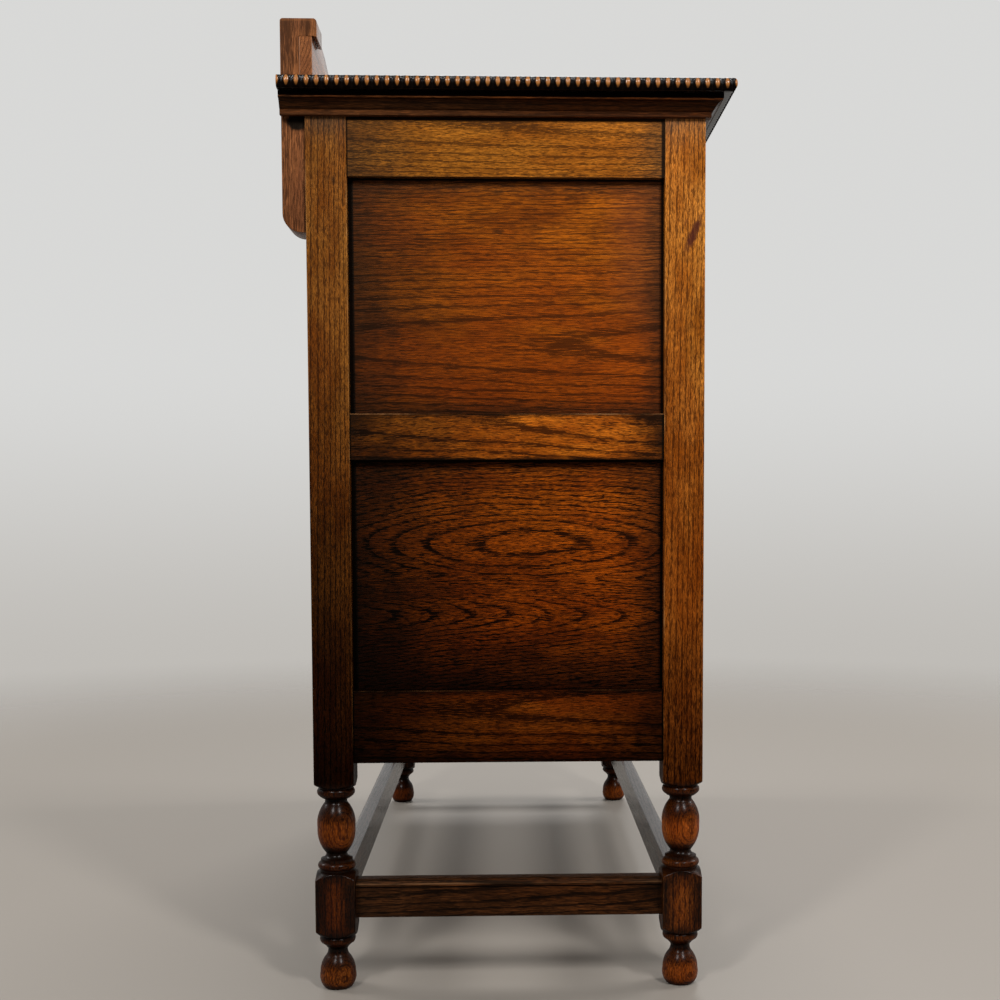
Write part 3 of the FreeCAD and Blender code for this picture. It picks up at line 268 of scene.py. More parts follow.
edgeInputs = {
    "Low Spread": (0.01, 0.01, 0.01), "High Spread": (0.01, 0.01, 0.01), "Low Seam": zero,
    "High Seam": zero, "Wear Width": 0.0015,
}
edgeWearDirtAndShade = {
    "roughScale": 90, "roughness": 0.0012, "brokenScale": 16, "brokenEdge": (0.36, 0.64),
    "dirtAndShadeScale": 22, "dirtAndShadeRagged": 0.7, "dirtAndShadeStart": -0.12, "jointAndShadowEdge": -0.0016,
}


def makeBoardEdges():
    # rubbed arrises with painted highlight; dirt and painted shade from its sides; joint lines with
    # painted shadow
    shape = edgeWearDirtAndShade
    group, source, sink = newGroup(
        "boardEdges",
        {"Vector": zero, "Low": zero, "High": zero, "Skip": zero, "Hidden": zero, **edgeInputs},
        {"Wear": "Float", "Clean": "Float", "Seam": "Float"})
    fromLow = source["Vector"] - source["Low"]
    fromHigh = source["High"] - source["Vector"]
    near = split(calc("MINIMUM", fromLow, fromHigh) + source["Hidden"])
    low = calc("MINIMUM", near[0], near[1])
    high = calc("MAXIMUM", near[0], near[1])
    distance = calc("MAXIMUM", low, calc("MINIMUM", high, near[2]))
    edge = distance + ragged(source["Vector"], shape["roughScale"], shape["roughness"], 2)
    rubAndHighlight = 1.0 - remap(edge, 0.0, source["Wear Width"])
    broken = remap(noise(source["Vector"], shape["brokenScale"], 3), *shape["brokenEdge"])

    dirtAndShade = ragged(source["Vector"], shape["dirtAndShadeScale"], shape["dirtAndShadeRagged"], 4, 0.6)
    cleanUnshadedSides, wholeSides = [], []
    for distances, end in ((fromLow, "Low"), (fromHigh, "High")):
        distances = distances + source["Skip"]
        cleanUnshadedSides += [remap(share + dirtAndShade, shape["dirtAndShadeStart"], 1.0)
                       for share in split(distances / source[f"{end} Spread"])]
        wholeSides += [remap(beyond, shape["jointAndShadowEdge"], 0.0)
                       for beyond in split(distances - source[f"{end} Seam"])]
    feed(sink, {"Wear": rubAndHighlight * broken, "Clean": math.prod(cleanUnshadedSides[1:], start=cleanUnshadedSides[0]),
                "Seam": 1.0 - math.prod(wholeSides[1:], start=wholeSides[0])})
    return group


ageingAndShade = {
    "heights": (0.25, 0.97), "depths": (-0.20, 0.20), "cloudScale": 7, "cloud": 0.16,
    "cloudRear": 0.6,
    # share of the height, share of the light
    "front": [(0.0, 0.10), (0.08, 0.15), (0.26, 0.44), (0.49, 0.58), (0.71, 0.80), (1.0, 1.0)],
    "rear": [(0.0, 0.012), (0.08, 0.02), (0.26, 0.048), (0.49, 0.20), (0.71, 0.37), (1.0, 0.43)],
    # from and to a height, and how much of that channel is gone at the lower one
    "greenFade": (0.30, 0.82, 0.40), "blueFade": (0.45, 0.94, 0.58),
}


def makeAgedAndShadedFoot():
    # darker towards the floor, more at the rear than at the front: partly a blackened finish,
    # partly painted shade
    group, source, sink = newGroup("agedAndShadedFoot", {"Vector": zero, "Strength": 1.0},
                                   {"Factor": "Float"})
    _, toRear, height = split(source["Vector"])
    cloud = ragged(source["Vector"], ageingAndShade["cloudScale"], ageingAndShade["cloud"], 2)
    level = remap(height, *ageingAndShade["heights"], shape="LINEAR") + cloud
    front, rear = throughCurve(level, ageingAndShade["front"]), throughCurve(level, ageingAndShade["rear"])
    rearward = remap(toRear + cloud * ageingAndShade["cloudRear"], *ageingAndShade["depths"], shape="LINEAR")
    both = front * (1.0 - rearward) + rear * rearward
    feed(sink, {"Factor": calc("POWER", both, source["Strength"])})
    return group


def makeAgedAndShadedTone():
    # darkens a colour by the blackening and painted shade, and turns it redder towards the floor
    group, source, sink = newGroup(
        "agedAndShadedTone", {"Vector": zero, "Color": (1, 1, 1, 1), "Factor": 1.0, "Redden": 1.0},
        {"Color": "Color"})
    height = split(source["Vector"])[2]
    kept = [remap(height, low, high, 1.0 - source["Redden"] * gone, 1.0, "LINEAR")
            for low, high, gone in (ageingAndShade["greenFade"], ageingAndShade["blueFade"])]
    feed(sink, {"Color": scaled(source["Color"], source["Factor"]) * combine(1.0, *kept)})
    return group


turnings = {
    "top": 0.236, "shaftBase": 0.228, "raggedScale": 70, "ragged": 0.006,
    # share of the height to the shaft, share of the light
    "light": [(0.0, 0.06), (0.02, 0.22), (0.045, 0.70), (0.085, 0.66), (0.12, 0.22),
              (0.165, 0.10), (0.195, 0.03), (0.225, 0.24), (0.258, 0.05), (0.29, 0.17),
              (0.42, 0.23), (0.54, 0.14), (0.565, 0.04), (0.59, 0.26), (0.612, 0.08),
              (0.65, 0.03), (0.68, 0.18), (0.712, 0.92), (0.765, 1.0), (0.80, 0.66),
              (0.84, 0.20), (0.885, 0.09), (0.91, 0.03), (0.94, 0.18), (0.965, 0.08), (1.0, 0.08)],
    "streaks": (260, 260, 22), "streakAmount": 0.012, "blockMiddle": (0.002, 0.017, 0.95, -0.62),
    "blockBase": (0.066, 0.076), "blockTop": (0.118, 0.130),
}


def makeTurnedShade():
    # dark stain lies in the hollows of the turnings, and hands and feet keep the swells bare
    shape = turnings
    group, source, sink = newGroup("turnedShade", {"Vector": zero, "Centre": zero},
                                   {"Factor": "Float"})
    height = split(source["Vector"])[2]
    level = height + ragged(source["Vector"], shape["raggedScale"], shape["ragged"], 3, 0.6)
    light = throughCurve(level / shape["top"], shape["light"])
    sides = split(calc("ABSOLUTE", source["Vector"] - source["Centre"]))
    streaks = ragged(source["Vector"] * shape["streaks"], 1.0, shape["streakAmount"])
    middle = remap(calc("MINIMUM", sides[0], sides[1]) + streaks, *shape["blockMiddle"])
    inBlock = remap(height, *shape["blockBase"]) * remap(height, *shape["blockTop"], 1.0, 0.0)
    feed(sink, {"Factor": light * (1.0 + middle * inBlock)})
    return group


def makeStandingGrain():
    # old stain leaves the grain standing out where the wood is dark
    group, source, sink = newGroup(
        "standingGrain", {"Color": (1, 1, 1, 1), "Height": 0.0, "Strength": 0.0},
        {"Color": "Color"})
    evenHeight, darkest = 0.12, 0.12
    shade = 1.0 + (source["Height"] - evenHeight) * source["Strength"]
    feed(sink, {"Color": scaled(source["Color"], calc("MAXIMUM", darkest, shade))})
    return group


def makeStainShadowAndSheenMark():
    # a knot, a blot, a painted shadow or a painted sheen: a soft oval, ragged by noise
    group, source, sink = newGroup(
        "stainShadowAndSheenMark",
        {"Vector": zero, "Color": (1, 1, 1, 1), "At": zero, "Stretch": (1.0, 1.0, 1.0), "Lean": 0.0,
         "Ragged": 120.0, "Loose": 1.2, "Core": 0.35, "Amount": 1.0, "Mark": (0, 0, 0, 1)},
        {"Color": "Color"})
    local = source["Vector"] - source["At"]
    local = (local + combine(0.0, split(local)[2] * source["Lean"], 0.0)) * source["Stretch"]
    distance = calc("LENGTH", local) + ragged(source["Vector"], source["Ragged"], source["Loose"])
    spot = (1.0 - remap(distance, source["Core"], 1.0)) * source["Amount"]
    feed(sink, {"Color": mixColor(spot, source["Color"], source["Mark"])})
    return group


beadLook = {
    "outside": (0.0030, 0.0045), "brokenScale": 9, "broken": (0.40, 0.64, 0.05, 0.7),
    "ridgeEdge": (0.0003, 0.0012), "quirkEdge": (0.0005, 0.0010), "ridgeRubAndHighlightTone": (0.16, 0.078, 0.034),
}


def makeScratchedBead():
    # a light line on a scratched bead's ridge, rubbed wear and painted highlight, and a black line
    # in its quirk
    shape = beadLook
    group, source, sink = newGroup(
        "scratchedBead",
        {"Vector": zero, "Color": (1, 1, 1, 1), "Centre": zero, "Outward": (1.0, 0.0, 0.0),
         "Ridge": 0.0, "Quirk": 0.0},
        {"Color": "Color"})
    height = split(source["Vector"])[2]
    beyond = calc("DOT_PRODUCT", source["Vector"] - source["Centre"], source["Outward"])
    outer = remap(beyond, *shape["outside"])
    broken = remap(noise(source["Vector"], shape["brokenScale"], 3), *shape["broken"])
    ridge = remap(calc("ABSOLUTE", height - source["Ridge"]), *shape["ridgeEdge"], 1.0, 0.0)
    color = mixColor(ridge * broken * outer, source["Color"], shape["ridgeRubAndHighlightTone"])
    quirk = remap(calc("ABSOLUTE", height - source["Quirk"]), *shape["quirkEdge"], 1.0, 0.0)
    feed(sink, {"Color": mixColor(quirk * outer, color, dirtAndShadowBlack)})
    return group


def makeSidePolish():
    # the long faces keep their polish; sawn ends and what hangs below a height are dull
    group, source, sink = newGroup(
        "sidePolish", {"Vector": zero, "Polished": 0.5, "Coat": 1.0, "Dull Below": -1.0},
        {"Coat": "Float"})
    side, _, height = split(source["Vector"])
    edge, drop, dull = 0.0006, 0.008, 0.15
    shine = remap(calc("ABSOLUTE", side), source["Polished"], source["Polished"] + edge,
                  source["Coat"], 0.0)
    feed(sink, {"Coat": shine * remap(height, source["Dull Below"] - drop, source["Dull Below"],
                                      dull, 1.0)})
    return group


oakGrain = makeOakGrain()
boardEdges = makeBoardEdges()
agedAndShadedFoot = makeAgedAndShadedFoot()
agedAndShadedTone = makeAgedAndShadedTone()
turnedShade = makeTurnedShade()
standingGrain = makeStandingGrain()
stainShadowAndSheenMark = makeStainShadowAndSheenMark()
scratchedBead = makeScratchedBead()
sidePolish = makeSidePolish()
print("shared effects ready")


# the finishes: oak in the tones of each part of the cupboard, and brass

oakTones = {
    "rail": {"light": (0.53, 0.176, 0.014), "deep": (0.27, 0.072, 0.004),
             "red": (0.40, 0.092, 0.006), "pore": (0.045, 0.011, 0.001)},
    "panel": {"light": (0.46, 0.112, 0.004), "deep": (0.26, 0.054, 0.002),
              "red": (0.40, 0.072, 0.003), "pore": (0.040, 0.009, 0.001)},
    "post": {"light": (0.62, 0.236, 0.036), "deep": (0.32, 0.094, 0.006),
             "red": (0.40, 0.098, 0.008), "pore": (0.060, 0.014, 0.001)},
    "dark": {"light": (0.060, 0.019, 0.005), "deep": (0.020, 0.006, 0.0015),
             "red": (0.050, 0.012, 0.002), "pore": (0.006, 0.002, 0.001)},
    "top": {"light": (0.20, 0.070, 0.018), "deep": (0.085, 0.027, 0.006),
            "red": (0.15, 0.036, 0.007), "pore": (0.025, 0.008, 0.002)},
    "upstand": {"light": (0.28, 0.102, 0.034), "deep": (0.15, 0.052, 0.019),
                "red": (0.25, 0.070, 0.022), "pore": (0.050, 0.016, 0.006)},
    "inner": {"light": (0.42, 0.27, 0.13), "deep": (0.28, 0.16, 0.07),
              "red": (0.34, 0.19, 0.09), "pore": (0.16, 0.09, 0.04)},
}
axisVectors = {"x": (1, 0, 0), "y": (0, 1, 0), "z": (0, 0, 1), "-y": (0, -1, 0)}
oakDefaults = {
    "tone": "rail", "tint": 1.0, "along": "y", "across": "z", "seed": 0.0,
    "ringWidth": 0.0038, "pithAcross": 0.02, "pithDepth": 0.08, "taper": 0.004,
    "bow": 0.0, "bowCentre": 0.0, "wave": 0.006,
    "split": -1.0, "heartTwo": 0.0, "depthTwo": 0.03, "taperTwo": 0.0,
    "poreLength": 1.2, "poreAmount": 0.80, "ringAmount": 0.25, "patchAmount": 1.0,
    "redAmount": 0.35, "redden": 1.0, "contrast": 0.0, "aged": 0.45, "marks": (),
    "wearWidth": 0.0012, "wearAmount": 0.35, "rubAndHighlightTone": None, "rubAndHighlightAbove": False,
    "lowSpread": (0.012, 0.012, 0.012), "highSpread": (0.012, 0.012, 0.012),
    "dirtAndShadeAmount": 0.85, "dirtAndShade": (0.016, 0.007, 0.003),
    "lowSeam": zero, "highSeam": zero, "hide": zero, "skip": None,
    "roughness": 0.42, "coat": 0.0, "coatRoughness": 0.16, "specular": 0.07,
    # only on some boards
    "turned": 0.0, "bead": None, "cove": 0.0, "black": 0.0, "polished": 0.0, "dullBelow": -1.0,
    "floorShine": 1.0,
}
markDefaults = {"lean": 0.0, "ragged": 120, "loose": 1.2, "core": 0.35}
finishShape = {
    "seedStep": 1.618, "arrisEdge": 0.002, "seamAmount": 0.95, "agedWear": (0.30, 0.132, 0.047),
    "rubAndHighlightFade": (0.02, 0.45, 0.12, 1.0), "dirtAndShadeContrast": 0.8,
    "darkContrast": (0.03, 0.35, 0.8, 0.0),
    "turnedCoat": 0.17, "coveEdge": 0.0022, "coveTone": 0.40, "filletHighlight": (0.9702, 0.9706, 1.0, 3.2),
    "shadeBlack": (0.0022, 0.0010, 0.0007), "blackEdge": 0.001,
    "glossScale": 9, "glossRange": 0.16, "poreDull": 0.10, "bumpStrength": 0.35, "bump": 0.0003,
    "shineRise": (0.25, 0.75), "varnish": (1.0, 0.78, 0.56, 1),
}
oakCount = 0


def newMaterial(name):
    material = bpy.data.materials.new(name)
    material.use_nodes = True
    tree = material.node_tree
    tree.nodes.clear()
    shader = tree.nodes.new("ShaderNodeBsdfPrincipled")
    output = tree.nodes.new("ShaderNodeOutputMaterial")
    tree.links.new(shader.outputs[0], output.inputs["Surface"])
    place = Field(tree.nodes.new("ShaderNodeTexCoord").outputs["Object"])
    return material, shader, place


def bumped(height, strength, distance):
    return nodeField("ShaderNodeBump", {"Height": height, "Strength": strength,
                                        "Distance": distance})


def oakMaterial(name, low, high, settings):
    # waxed oak for one board that fills the box from low to high
    global oakCount
    oakCount += 1
    shape = finishShape
    values = {**oakDefaults, **settings}
    values["seed"] = values["seed"] or oakCount * shape["seedStep"]
    tones = {part.title(): [values["tint"] * level for level in tone] + [1]
             for part, tone in oakTones[values["tone"]].items()}
    material, shader, place = newMaterial(name)
    tree = place.tree
    height = split(place)[2]
    hidden = Vector(values["hide"])
    low, high = Vector(low) + hidden, Vector(high) - hidden
    centre = (low + high) / 2
    grain = useGroup(tree, oakGrain, {
        "Vector": place, "Centre": centre, "Along": axisVectors[values["along"]],
        "Across": axisVectors[values["across"]], **named(values, grainInputs), **tones})
    thin = min(range(3), key=lambda axis: high[axis] - low[axis])
    edges = useGroup(tree, boardEdges, {
        "Vector": place, "Low": low, "High": high,
        "Hidden": [float(depth > 0) for depth in values["hide"]],
        "Skip": values["skip"] or [float(axis == thin) for axis in range(3)],
        **named(values, edgeInputs)})

    color = grain["Color"]
    for mark in values["marks"]:
        mark = {**markDefaults, **mark}
        color = useGroup(tree, stainShadowAndSheenMark, {
            "Vector": place, "Color": color, "Mark": (*mark["color"], 1),
            **named(mark, ("At", "Stretch", "Lean", "Ragged", "Loose", "Core", "Amount"))})["Color"]
    # rubbed wear along the arrises, and a painted highlight on them
    worn = edges["Wear"] * values["wearAmount"]
    if values["rubAndHighlightAbove"]:  # only the upper arris has its rubbed wear and painted highlight
        worn = worn * remap(height, centre.z - shape["arrisEdge"], centre.z + shape["arrisEdge"])
    # dirt and painted shade, darkest at the sides that meet other parts
    dirtyAndShaded = 1.0 - edges["Clean"]
    color = mixColor(dirtyAndShaded * values["dirtAndShadeAmount"], color, values["dirtAndShade"])
    if not values["aged"]:
        color = mixColor(worn, color, values["rubAndHighlightTone"] or tones["Light"][:3])
    # black lines at the joints: dark joints, and painted shadow under the rails and cornice
    color = mixColor(edges["Seam"] * shape["seamAmount"], color, dirtAndShadowBlack)

    strong = values["contrast"] + dirtyAndShaded * shape["dirtAndShadeContrast"]
    specular, coat = values["specular"], values["coat"]
    if values["aged"]:
        factor = useGroup(tree, agedAndShadedFoot, {"Vector": place, "Strength": values["aged"]})["Factor"]
        if values["turned"]:  # the shaft's ageing and painted shade above the turnings, their own tone below
            shaft = remap(height, turnings["shaftBase"], turnings["top"])
            shade = useGroup(tree, turnedShade, {"Vector": place, "Centre": centre})["Factor"]
            factor = factor * shaft + shade * values["turned"] * (1.0 - shaft)
            coat = remap(height, turnings["shaftBase"], turnings["top"], shape["turnedCoat"], coat)
        color = useGroup(tree, agedAndShadedTone, {"Vector": place, "Color": color, "Factor": factor,
                                          "Redden": values["redden"]})["Color"]
        color = mixColor(worn * remap(factor, *shape["rubAndHighlightFade"]), color,
                         values["rubAndHighlightTone"] or shape["agedWear"])
        strong = strong + remap(factor, *shape["darkContrast"])
    if values["floorShine"] < 1.0:  # the darker wood near the floor is dull
        specular = remap(height, *shape["shineRise"], values["floorShine"] * specular, specular,
                         "LINEAR")
    color = useGroup(tree, standingGrain, {"Color": color, "Height": grain["Height"],
                                           "Strength": strong})["Color"]
    if values["bead"]:
        color = useGroup(tree, scratchedBead, {"Vector": place, "Color": color, "Centre": centre,
                                               **values["bead"]})["Color"]
    if values["cove"]:  # the hollow of a moulding, darker than its lower band, with a painted highlight on the fillet above
        hollow = remap(height, values["cove"] - shape["coveEdge"],
                       values["cove"] + shape["coveEdge"], 1.0, shape["coveTone"])
        color = scaled(color, hollow * remap(height, *shape["filletHighlight"]))
    if values["black"]:  # painted shade: black below this height, on the top board's edge and underside
        above = remap(height, values["black"] - shape["blackEdge"], values["black"])
        color = mixColor(above, shape["shadeBlack"], color)
        specular = above * specular
    if values["polished"]:
        coat = useGroup(tree, sidePolish, {
            "Vector": place, **named(values, ("Polished", "Coat", "Dull Below"))})["Coat"]

    gloss = noise(place, shape["glossScale"], 3) * shape["glossRange"]
    rough = values["roughness"] - shape["glossRange"] / 2 + gloss
    rough = rough + grain["Pores"] * shape["poreDull"]
    feed(shader, {
        "Base Color": color, "Roughness": rough, "Specular IOR Level": specular,
        "Specular Tint": shape["varnish"], "Coat Weight": coat,
        "Coat Roughness": values["coatRoughness"],
        "Normal": bumped(grain["Height"], shape["bumpStrength"], shape["bump"])})
    return material


brassLook = {
    # noise as (scale, detail, roughness)
    "tarnishNoise": (130, 4, 0.6), "speckNoise": (900, 2), "bumpNoise": (420, 3),
    "clean": (0.60, 0.42, 0.16), "tarnished": (0.30, 0.19, 0.075), "speck": (0.10, 0.06, 0.03),
    "tarnish": (0.38, 0.66), "specks": (0.60, 0.72), "speckAmount": 0.5,
    "roughness": 0.24, "roughened": 0.22, "bumpStrength": 0.12, "bump": 0.0004,
}


def brassMaterial(name):
    shape = brassLook
    material, shader, place = newMaterial(name)
    tarnish = remap(noise(place, *shape["tarnishNoise"]), *shape["tarnish"])
    specks = remap(noise(place, *shape["speckNoise"]), *shape["specks"])
    color = mixColor(tarnish, shape["clean"], shape["tarnished"])
    color = mixColor(specks * shape["speckAmount"], color, shape["speck"])
    feed(shader, {
        "Base Color": color, "Roughness": shape["roughness"] + tarnish * shape["roughened"],
        "Normal": bumped(noise(place, *shape["bumpNoise"]), shape["bumpStrength"],
                         shape["bump"]),
        "Metallic": 1.0})
    return material


def giveMaterial(thing, material):
    thing.data.materials.clear()
    thing.data.materials.append(material)


def meshObject(name, points, faces, body, replaced=(), sharpAngle=35):
    mesh = bpy.data.meshes.new(name)
    mesh.from_pydata([Vector(point) for point in points], [], faces)
    mesh.validate()
    mesh.shade_smooth()
    mesh.set_sharp_from_angle(angle=math.radians(sharpAngle))
    thing = bpy.data.objects.new(name, mesh)
    scene.collection.objects.link(thing)
    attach(thing, body)
    if replaced:
        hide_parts(*replaced)
    return thing


def tubeFaces(rings, around):
    # quads between closed rings of points, and a face over each end
    faces = []
    for ring in range(rings - 1):
        for step in range(around):
            after = (step + 1) % around
            faces.append((ring * around + step, ring * around + after,
                          (ring + 1) * around + after, (ring + 1) * around + step))
    faces.append(tuple(reversed(range(around))))
    faces.append(tuple((rings - 1) * around + step for step in range(around)))
    return faces


def arcThrough(start, middle, end, count):
    # points of the arc through three points, without its start
    (ax, ay), (bx, by), (cx, cy) = start, middle, end
    cross = 2 * (ax * (by - cy) + bx * (cy - ay) + cx * (ay - by))
    aa, bb, cc = ax**2 + ay**2, bx**2 + by**2, cx**2 + cy**2
    ux = (aa * (by - cy) + bb * (cy - ay) + cc * (ay - by)) / cross
    uy = (aa * (cx - bx) + bb * (ax - cx) + cc * (bx - ax)) / cross
    radius = math.hypot(ax - ux, ay - uy)
    first = math.atan2(ay - uy, ax - ux)
    turn = (math.atan2(cy - uy, cx - ux) - first) % math.tau
    passed = (math.atan2(by - uy, bx - ux) - first) % math.tau
    if passed > turn:
        turn -= math.tau
    return [(ux + radius * math.cos(first + turn * step / count),
             uy + radius * math.sin(first + turn * step / count)) for step in range(1, count + 1)]


def follow(steps, arcSteps=12):
    # a line through points, and through arcs given by their middle, end and perhaps step count
    line = []
    for step in steps:
        if len(step) > 2:
            line += arcThrough(line[-1], step[:2], step[2:4], *(step[4:] or [arcSteps]))
        else:
            line.append(step)
    return line


def easedPlate(name, outline, reach, ease, toWorld, body, replaced):
    # a board cut to an outline that runs anticlockwise, with rounded arrises
    count = len(outline)
    sharpest = 0.4  # keeps the inset short at a pointed corner
    inward = []
    for index, point in enumerate(outline):
        before, after = Vector(outline[index - 1]), Vector(outline[(index + 1) % count])
        one = (Vector(point) - before).normalized()
        two = (after - Vector(point)).normalized()
        normal = Vector((-one.y - two.y, one.x + two.x)).normalized()
        inward.append(normal / max(sharpest, normal.dot(Vector((-one.y, one.x)))))
    rings = []
    for share in (1.0, 0.7, 0.35, 0.0):
        angle = share * math.pi / 2
        rings.append((ease * (1 - math.cos(angle)), ease * (1 - math.sin(angle))))
    levels = rings + [(inset, reach - depth) for inset, depth in reversed(rings)]
    points = []
    for inset, depth in levels:
        for point, normal in zip(outline, inward):
            points.append(toWorld(point[0] + normal.x * inset, point[1] + normal.y * inset, depth))
    return meshObject(name, points, tubeFaces(len(levels), count), body, replaced)


easing = {"board": 0.0008, "inner": 0.0005, "brass": 0.0002, "weld": 0.00002, "normalWeight": 90}


def easeEdges(thing, width, angle=40):
    # softens a carried board's arrises as hand tools and wear leave them
    thing.data.shade_smooth()
    weld = thing.modifiers.new("weld", "WELD")
    weld.merge_threshold = easing["weld"]
    bevel = thing.modifiers.new("arris", "BEVEL")
    bevel.width = width
    bevel.segments = 2
    bevel.limit_method = "ANGLE"
    bevel.angle_limit = math.radians(angle)
    normals = thing.modifiers.new("normals", "WEIGHTED_NORMAL")
    normals.keep_sharp = False
    normals.weight = easing["normalWeight"]


postShape = {
    # a square shaft over a turned leg, in millimetres
    "half": 22.0, "arris": 1.4, "blend": 0.7, "blockBase": 61.5, "blockTop": 132.5,
    "shaftEnd": 229.0, "midShaft": 400.0, "top": 972.0, "blockShoulder": 7.0,
    "shaftShoulder": 5.0, "clear": 36.0, "coneSteps": 26,
    # (radius, height), or the middle and end of an arc
    "foot": [(14.2, 0.0), (15.6, 1.0), (19.13, 6.9, 19.8, 17.83), (18.02, 28.29, 13.57, 36.28),
             (11.26, 40.59, 10.9, 44.89), (14.05, 48.59, 18.64, 52.27), (19.9, 55.35, 19.3, 58.73),
             (18.4, 59.66), (18.4, 60.58)],
    "collar": [(18.4, 133.66), (18.4, 135.4), (21.0, 139.25, 18.4, 143.6), (17.7, 144.08),
               (17.7, 146.97), (16.83, 147.46), (13.24, 149.39, 11.5, 153.25),
               (18.34, 164.34, 21.0, 181.72), (18.76, 200.05, 12.4, 210.67), (12.4, 214.04),
               (16.27, 215.97, 20.14, 219.35), (21.0, 222.73, 19.96, 225.62), (18.4, 226.59),
               (18.4, 227.55)],
}


def postLevels():
    # (radius of the turning, height) from the foot up; the square trims it where it is wider
    shape = postShape

    def cone(height, slope, way):
        # shoulder of the square, in fine steps so that its arch stays smooth
        steps = shape["coneSteps"]
        rise = shape["clear"] - shape["half"]
        return [(shape["half"] + rise * step / steps, height + way * slope * rise * step / steps)
                for step in (range(steps + 1) if way > 0 else range(steps, -1, -1))]

    corner = shape["half"] * (math.sqrt(2) - 1)
    blockSlope, shaftSlope = shape["blockShoulder"] / corner, shape["shaftShoulder"] / corner
    return (follow(shape["foot"]) + cone(shape["blockBase"], blockSlope, 1)
            + cone(shape["blockTop"], blockSlope, -1) + follow(shape["collar"])
            + cone(shape["shaftEnd"], shaftSlope, 1)
            + [(shape["clear"], shape["midShaft"]), (shape["clear"], shape["top"])])


def squareRadius(angle):
    # distance from the axis to the rounded square, at an angle from a face's normal
    half, arris = postShape["half"], postShape["arris"]
    turn = abs((angle + math.pi / 4) % (math.pi / 2) - math.pi / 4)
    flat = half / math.cos(turn)
    if flat * math.sin(turn) <= half - arris:
        return flat
    centre = (half - arris) * math.sqrt(2)
    away = turn - math.pi / 4
    return centre * math.cos(away) + math.sqrt(arris**2 - (centre * math.sin(away)) ** 2)


def softMin(first, second, blend):
    overlap = max(blend - abs(first - second), 0) / blend
    return min(first, second) - overlap**2 * blend / 4


def makePost(end, side):
    name = f"{side}_{end}_post"
    low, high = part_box(name)
    centre = (low + high) / 2
    offsets = [0.8, 1.6, 2.4, 3.5, 6, 10, 15, 20, 25, 30, 35, 40]  # degrees from a corner
    offsets = [-45] + [-offset for offset in reversed(offsets)] + [0.0] + offsets
    angles = [math.radians(45 + 90 * quarter + offset)
              for quarter in range(4) for offset in offsets]
    levels = postLevels()
    points = []
    for radius, height in levels:
        for angle in angles:
            reach = softMin(radius, squareRadius(angle), postShape["blend"]) * mm
            points.append((centre.x + reach * math.cos(angle),
                           centre.y + reach * math.sin(angle), height * mm))
    return meshObject(f"{side}_{end}_leg", points, tubeFaces(len(levels), len(angles)), "carcass",
                      [name], sharpAngle=48)


postFinish = {
    "tone": "post", "along": "z", "across": "y", "aged": 1.0, "floorShine": 0.3, "redden": 0.88,
    "ringWidth": 0.0024, "pithAcross": 0.05, "pithDepth": 0.09, "wave": 0.004,
    "poreLength": 0.55, "poreAmount": 0.85, "ringAmount": 0.12, "redAmount": 0.45,
    "wearAmount": 0.75, "rubAndHighlightTone": (0.50, 0.25, 0.085), "skip": (1.0, 1.0, 0.0),
    # the high spread paints the cornice's shade down the top of the post, with dirt
    "lowSpread": (0.01, 0.01, 0.001), "highSpread": (0.01, 0.01, 0.066),
    "dirtAndShadeAmount": 0.95, "dirtAndShade": (0.085, 0.050, 0.030), "coatRoughness": 0.24,
}
postSides = {"front": {"turned": 0.51, "tint": 1.09}, "rear": {"turned": 0.30, "tint": 1.02}}
postMarks = {
    "front_left_post": [
        {"at": (-0.541, -0.2000, 0.8325), "stretch": (20, 140, 38), "amount": 0.9, "lean": 0.41,
         "ragged": 200, "loose": 0.7, "color": (0.060, 0.010, 0.008)},
        {"at": (-0.541, -0.1918, 0.8452), "stretch": (20, 620, 170), "amount": 0.6, "lean": 0.36,
         "ragged": 200, "loose": 0.7, "color": (0.075, 0.016, 0.008)}],
    "rear_left_post": [
        {"at": (-0.541, 0.1865, 0.889), "stretch": (20, 400, 150), "amount": 0.6,
         "color": (0.03, 0.012, 0.004)}],
}
for end in ("left", "right"):
    for side, finish in postSides.items():
        name = f"{side}_{end}_post"
        finish = {**postFinish, **finish, "marks": postMarks.get(name, [])}
        giveMaterial(makePost(end, side),
                     oakMaterial(f"oak_{side}_{end}_leg", *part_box(name), finish))
print("legs made")


edgeShape = {
    # the nulled edge of the top, in millimetres
    "pitch": 10.45, "perBead": 20, "hollow": 3.4, "lobeShare": 0.40, "outermost": 29.5,
    # (reach past the posts, height, share of the null's relief, half width of the rubbed tan)
    "profile": [(17.0, 977.0, 0.0, 0.0), (23.4, 977.0, 0.0, 0.0), (25.2, 977.2, 0.20, 0.0),
                (27.2, 978.2, 0.60, 0.0), (28.6, 979.8, 0.90, 0.12), (29.3, 981.6, 1.0, 0.19),
                (29.5, 983.4, 1.0, 0.25), (29.45, 985.2, 1.0, 0.28), (29.15, 986.9, 1.0, 0.26),
                (28.6, 988.3, 0.92, 0.20), (27.8, 989.4, 0.72, 0.14), (26.6, 990.2, 0.45, 0.08),
                (25.0, 990.65, 0.20, 0.0), (22.6, 990.8, 0.0, 0.0), (17.0, 990.8, 0.0, 0.0)],
}


